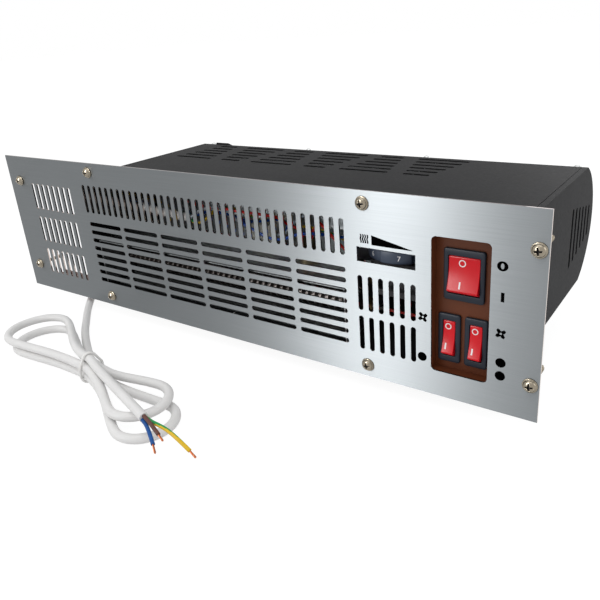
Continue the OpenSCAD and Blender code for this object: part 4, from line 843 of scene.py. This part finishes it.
# from the cutout to the thermostat and to the wide switch, then from the elements to the narrow
# switches
red_runs = [
    run_of((cutout_x + 4, cutout_y, tab_z), (cutout_x + 5.5, 44, 15), (cutout_x + 12, 38, 21),
           at_duct(-35.5, 28, 29), at_duct(-28, 20, 32.5), at_duct(-20.5, 16.5, 29.5),
           at_duct(-14.5, 18.5, 22), at_duct(-9, 23, 14), at_duct(-3.5, 28, 7.5),
           at_duct(4.5, 30, 3.6), (134.5, 30, 2)),
    run_of((cutout_x - 4, cutout_y, tab_z), (cutout_x - 5.5, 44, 15), (cutout_x - 13, 36, 23),
           at_block(33, 26, 30), at_block(23, 18, 33.8), at_block(12, 14, 35.2),
           at_block(1, 13, 35.8), at_block(-8, 15, 36.5), at_block(-13, 22, 37.5),
           at_block(-12, 32, 38.5), at_block(-4, 42, 38.8), at_block(10, 51, 38.8),
           at_block(34, 58, 38.8), at_duct(-37.5, 62, 38.8), at_duct(-2.5, 62, 38.8),
           at_duct(32.5, 59, 38), at_duct(57.5, 54, 35), (189.5, 49, 26), (197.5, 42, 19),
           (200.3, 36, tag_z[0] + 0.2), (200.5, tag_y, tag_z[0])),
    run_of((130.8, 52, -14.8), at_duct(22.5, 52, -15), at_duct(37.5, 48, -17),
           at_duct(62.5, 42, -21), (190, 36, tag_z[1] + 0.4), (191.7, tag_y, tag_z[1])),
    run_of((130.8, 34, -30.5), at_duct(24.5, 35, -31), at_duct(52.5, 38, -33),
           (198, 39, -34.4), (207, 36, tag_z[1] - 9), (208.9, tag_y, tag_z[1] - 9))]
wire_sides = 14
for colour, stands_for, runs, finish in (
        ("clear", "wire_live", live_runs,
         surface("wire_clear", (0.62, 0.70, 0.78), 0.25, mottle=0.06, grain=70)),
        ("blue", "wire_neutral", neutral_runs,
         surface("wire_blue", (0.01, 0.10, 0.55), 0.3, mottle=0.06, grain=70)),
        ("green_yellow", "wire_earth", earth_runs, yellow),
        ("red", "wire_red", red_runs,
         surface("wire_red", (0.80, 0.02, 0.015), 0.3, mottle=0.06, grain=70))):
    for i, run in enumerate(runs):
        w = tube("wire_%s_%d" % (colour, i + 1), run, wire_r, wire_sides)
        dressed(w, "heater", "wire_" + colour, finish, *([stands_for] if i == 0 else []))
        if colour == "green_yellow":
            striped(w, wire_sides, 0.5, 5)

# --- Switch tray: a shallow tray folded from brown-painted sheet, let into the fascia's window so
# that the rockers lie below its face.
tray_paint = surface("tray_paint", (0.120, 0.034, 0.013), 0.42, mottle=0.12, grain=35, bump=0.05,
                     gloss=0.15)
coat(tray_paint, "switch_tray")

# --- Switch housings: black nylon mouldings, each a rounded bezel with a raised rim round its
# opening and a body with snap sides behind the tray.
tray_depth, bezel_t = 7.0, 2.0
# each switch: name, place along, height, width of its bezel and of its rocker
switches = [("main", 200.5, 17.1, 25.6, 19.2), ("fan", 191.7, -25.8, 14.4, 7.6),
            ("heat", 208.9, -25.8, 14.4, 7.6)]
pivot_y = 10.0
rocker_half, rocker_face, rocker_dish = 10.6, 5.2, 1.4
rocker_end = math.hypot(rocker_face + rocker_dish, rocker_half)
nylon = surface("switch_nylon", (0.012, 0.017, 0.028), 0.42, mottle=0.12, grain=60, bump=0.06,
                gloss=0.22)


def rounded_ring(bm, cx, cz, y, hw, hh, r):
    """One ring of corners: a rectangle with round corners in the plane y."""
    r = min(r, hw, hh)
    ring = []
    for qx, qz, a0 in ((1, 1, 0), (-1, 1, 90), (-1, -1, 180), (1, -1, 270)):
        for k in range(7):
            a = math.radians(a0 + 15 * k)
            ring.append(bm.verts.new(Vector((cx + qx * (hw - r) + r * math.cos(a), y,
                                             cz + qz * (hh - r) + r * math.sin(a))) * mm))
    return ring


def skinned(bm, rings, first=True, last=True):
    """Joins each ring to the next, and closes the first and the last one."""
    for a, c in zip(rings, rings[1:]):
        for k in range(len(a)):
            bm.faces.new((a[k], a[(k + 1) % len(a)], c[(k + 1) % len(a)], c[k]))
    if first:
        bm.faces.new(rings[0])
    if last:
        bm.faces.new(rings[-1])


for name, x, z, bezel_w, rocker_w in switches:
    bm = bmesh.new()
    # half sizes of the opening, the bezel and the body, and the cavity's half height
    ow, oh, cavity = rocker_w / 2 + 0.3, 12.2, rocker_end + 0.3
    bw, bh, face = bezel_w / 2, 16.5, tray_depth - bezel_t
    body_w = rocker_w / 2 + 1.5
    # from the cavity's floor, forward through the opening, over the bezel and back round the body
    steps = [(pivot_y + 5.5, ow, cavity, 0.3), (face + 1.2, ow, cavity, 0.3),
             (face + 1.2, ow, oh, 0.5), (face + 0.3, ow, oh, 0.5),
             (face + 0.05, ow + 0.2, oh + 0.2, 0.6), (face, ow + 0.4, oh + 0.4, 0.7),
             (face, bw - 0.75, bh - 0.75, 1.1), (face + 0.15, bw - 0.3, bh - 0.3, 1.4),
             (face + 0.55, bw, bh, 1.6), (tray_depth, bw, bh, 1.6),
             (tray_depth, body_w, 14.8, 0.4), (tray_depth + 16, body_w - 0.1, 14.7, 0.4)]
    skinned(bm, [rounded_ring(bm, x, z, y, w, h, r) for y, w, h, r in steps])
    dressed(piece("switch_" + name + "_case", bm), "heater", "switch_plastic", nylon,
            "switch_" + name)
coat(bright_steel, "switch_tags")

# --- Rockers: translucent red caps, hollowed along their length, each rocking on two trunnions
# inside its housing. Moulded with a white ring at the top and a white bar below.
rocker_red = surface("rocker_red", (0.66, 0.004, 0.012), 0.30, mottle=0.08, grain=25, bump=0.02,
                     gloss=0.22)
b = rocker_red.node_tree.nodes["Principled BSDF"]
b.inputs["Subsurface Weight"].default_value = 0.1
b.inputs["Subsurface Radius"].default_value = (0.004, 0.001, 0.001)
b.inputs["Subsurface Scale"].default_value = 1.0
white_ink = surface("white_ink", (0.82, 0.80, 0.80), 0.4, mottle=0.03, grain=90)
tilt = math.radians(-10)


def rocked(x, z, p):
    """A rocker's own point, about its pivot, in its place with the rocker off. Millimetres in."""
    y = p[1] * math.cos(tilt) - p[2] * math.sin(tilt)
    h = p[1] * math.sin(tilt) + p[2] * math.cos(tilt)
    return Vector((x + p[0], pivot_y + y, z + h)) * mm


def rocker_front(h):
    """Where the dished face lies along Y, about the pivot, at a height."""
    return -rocker_face - rocker_dish * (h / rocker_half) ** 2


def rocker_outline(inset):
    """The cap's outline from the side, (y, z) about its pivot, drawn in by an inset in front."""
    half = rocker_half - inset
    edge = math.atan2(half, rocker_face + rocker_dish - inset * 0.5)
    face = [(rocker_front(h) + inset * 0.5, h) for h in (half * k / 12 for k in range(12, -13, -1))]
    end = rocker_end - inset
    ends = [(-end * math.cos(a), -end * math.sin(a))
            for a in (edge + (math.radians(88) - edge) * k / 10 for k in range(1, 11))]
    return face + ends + [(3, -4.8), (3, 4.8)] + [(y, -h) for y, h in reversed(ends)]


def mark_point(bm, x, z, u, h):
    """A corner of a printed mark on a rocker's face, u across and h up from its middle."""
    return bm.verts.new(rocked(x, z, (u, rocker_front(h) - 0.04, h)))


for name, x, z, bezel_w, rocker_w in switches:
    bm = bmesh.new()
    hw = rocker_w / 2
    ends = ((-hw, 0.45), (-hw + 0.06, 0.22), (-hw + 0.22, 0.06), (-hw + 0.45, 0),
            (hw - 0.45, 0), (hw - 0.22, 0.06), (hw - 0.06, 0.22), (hw, 0.45))
    skinned(bm, [[bm.verts.new(rocked(x, z, (u, y, h))) for y, h in rocker_outline(inset)]
                 for u, inset in ends])
    dressed(piece("rocker_" + name + "_cap", bm), name + "_rocker", "rocker_red", rocker_red,
            "rocker_" + name)
    # the ring's and the bar's place across and up, the ring's radius and the bar's half sizes
    (ring_x, ring_z, ring_r), (bar_x, bar_z, bar_w, bar_h) = (
        ((-1.2, 6.9, 2.2), (-1.9, -6.6, 0.46, 2.1)) if name == "main" else
        ((-0.6, 7.1, 2.05), (-1.5, -6.0, 0.48, 2.0)))
    hole_r = ring_r - 0.62
    bm = bmesh.new()
    parts = 40
    for k in range(parts):
        quad = []
        for j, r in ((0, ring_r), (1, ring_r), (1, hole_r), (0, hole_r)):
            a = 2 * math.pi * (k + j) / parts
            quad.append(mark_point(bm, x, z, ring_x + r * math.cos(a), ring_z + r * math.sin(a)))
        bm.faces.new(quad)
    for k in range(6):
        h0, h1 = (bar_z + bar_h * (2 * j / 6 - 1) for j in (k, k + 1))
        bm.faces.new([mark_point(bm, x, z, bar_x + u, h)
                      for u, h in ((-bar_w, h0), (bar_w, h0), (bar_w, h1), (-bar_w, h1))])
    bmesh.ops.remove_doubles(bm, verts=bm.verts, dist=1e-6)
    bmesh.ops.solidify(bm, geom=bm.faces[:], thickness=0.07 * mm)
    dressed(piece("rocker_" + name + "_marks", bm, smooth=False), name + "_rocker",
            "block_plastic", white_ink)

# --- Thumbwheel: a dark grey moulded wheel whose rim shows in the long window. Its rim steps out
# over a seventh of a turn, with plain numbers printed round it. It is pressed on the thermostat's
# spindle.
wheel_x, wheel_y, wheel_z, wheel_r, wheel_h = 151.8, 23.7, 23.4, 24.0, 8.5
wheel_grey = surface("wheel_grey", (0.040, 0.055, 0.086), 0.42, mottle=0.10, grain=60, bump=0.05,
                     gloss=0.3)
proud = 1.2
step_from, step_to, step_over = -101.8, -49.2, 1.6  # degrees


def rim_at(degrees):
    """Radius of the rim at an angle, with its step."""
    inside = min(ease((degrees - step_from) / step_over), ease((step_to - degrees) / step_over))
    return wheel_r - proud + proud * inside


def on_wheel(r, angle, h):
    """A point at a radius, an angle in radians and a height above the wheel's middle."""
    return Vector((wheel_x + r * math.cos(angle), wheel_y + r * math.sin(angle), wheel_z + h)) * mm


bm = bmesh.new()
degrees_round = [1.5 * k - 180 for k in range(240)]
top = wheel_h / 2
# (height, change of radius from the rim): out underneath, up the rim, down into the top's hollow
profile = [(-top, -12), (-top, -1.0), (-top + 0.25, -0.3), (-top + 0.9, 0), (0, 0), (top - 0.9, 0),
           (top - 0.25, -0.3), (top, -1.0), (top, -4.0), (top - 0.3, -4.3), (top - 3, -4.4)]
rings = [[bm.verts.new(on_wheel(rim_at(d) + inset, math.radians(d), h)) for d in degrees_round]
         for h, inset in profile]
# (radius, height): up the hub and down the spindle's bore
hub = [(6.3, top - 3), (6.0, top - 2.7), (6.0, top), (3.02, top), (3.02, -top)]
rings += [[bm.verts.new(on_wheel(r, math.radians(d), h)) for d in degrees_round] for r, h in hub]
skinned(bm, rings + rings[:1], first=False, last=False)
dressed(piece("thumbwheel_rim", bm), "dial", "wheel_plastic", wheel_grey, "thumbwheel")

numbers_bm = bmesh.new()
for i, text in enumerate("1234567"):
    data = bpy.data.curves.new("number", "FONT")
    data.body = text
    data.size = 4.6
    data.align_x, data.align_y = "CENTER", "CENTER"
    data.resolution_u = 6
    o = bpy.data.objects.new("number", data)
    bpy.context.scene.collection.objects.link(o)
    bpy.context.view_layer.update()
    flat_mesh = o.evaluated_get(bpy.context.evaluated_depsgraph_get()).to_mesh()
    word = bmesh.new()
    word.from_mesh(flat_mesh)
    bmesh.ops.subdivide_edges(word, edges=word.edges, cuts=1)
    middle = math.radians(-70 - 50 * (6 - i))  # 7 shows at rest
    for v in word.verts:
        a = middle + v.co.x / wheel_r
        v.co = on_wheel(rim_at(math.degrees(a)) + 0.04, a, v.co.y - 0.3)
    bmesh.ops.solidify(word, geom=word.faces[:], thickness=0.06 * mm)
    copy = bpy.data.meshes.new("number")
    word.to_mesh(copy)
    word.free()
    numbers_bm.from_mesh(copy)
    bpy.data.objects.remove(o)
    bpy.data.meshes.remove(copy)
dressed(piece("wheel_numbers", numbers_bm, smooth=False), "dial", "block_plastic", white_ink)

# --- Thermostat: a snap-action body in a plated case, hung under a folded steel bracket that is
# screwed to the right duct plate.
# the plated case and the steel bracket are coloured near black, far darker than plated steel:
# painted shade for the dark inside of the body
coat(surface("stat_case_shade_dark", (0.10, 0.10, 0.105), 0.42, metal=0.9, mottle=0.12, grain=90),
     "thermostat_body")
coat(surface("bracket_shade_dark", (0.10, 0.10, 0.11), 0.4, metal=0.9, mottle=0.12, grain=60),
     "thermostat_bracket")
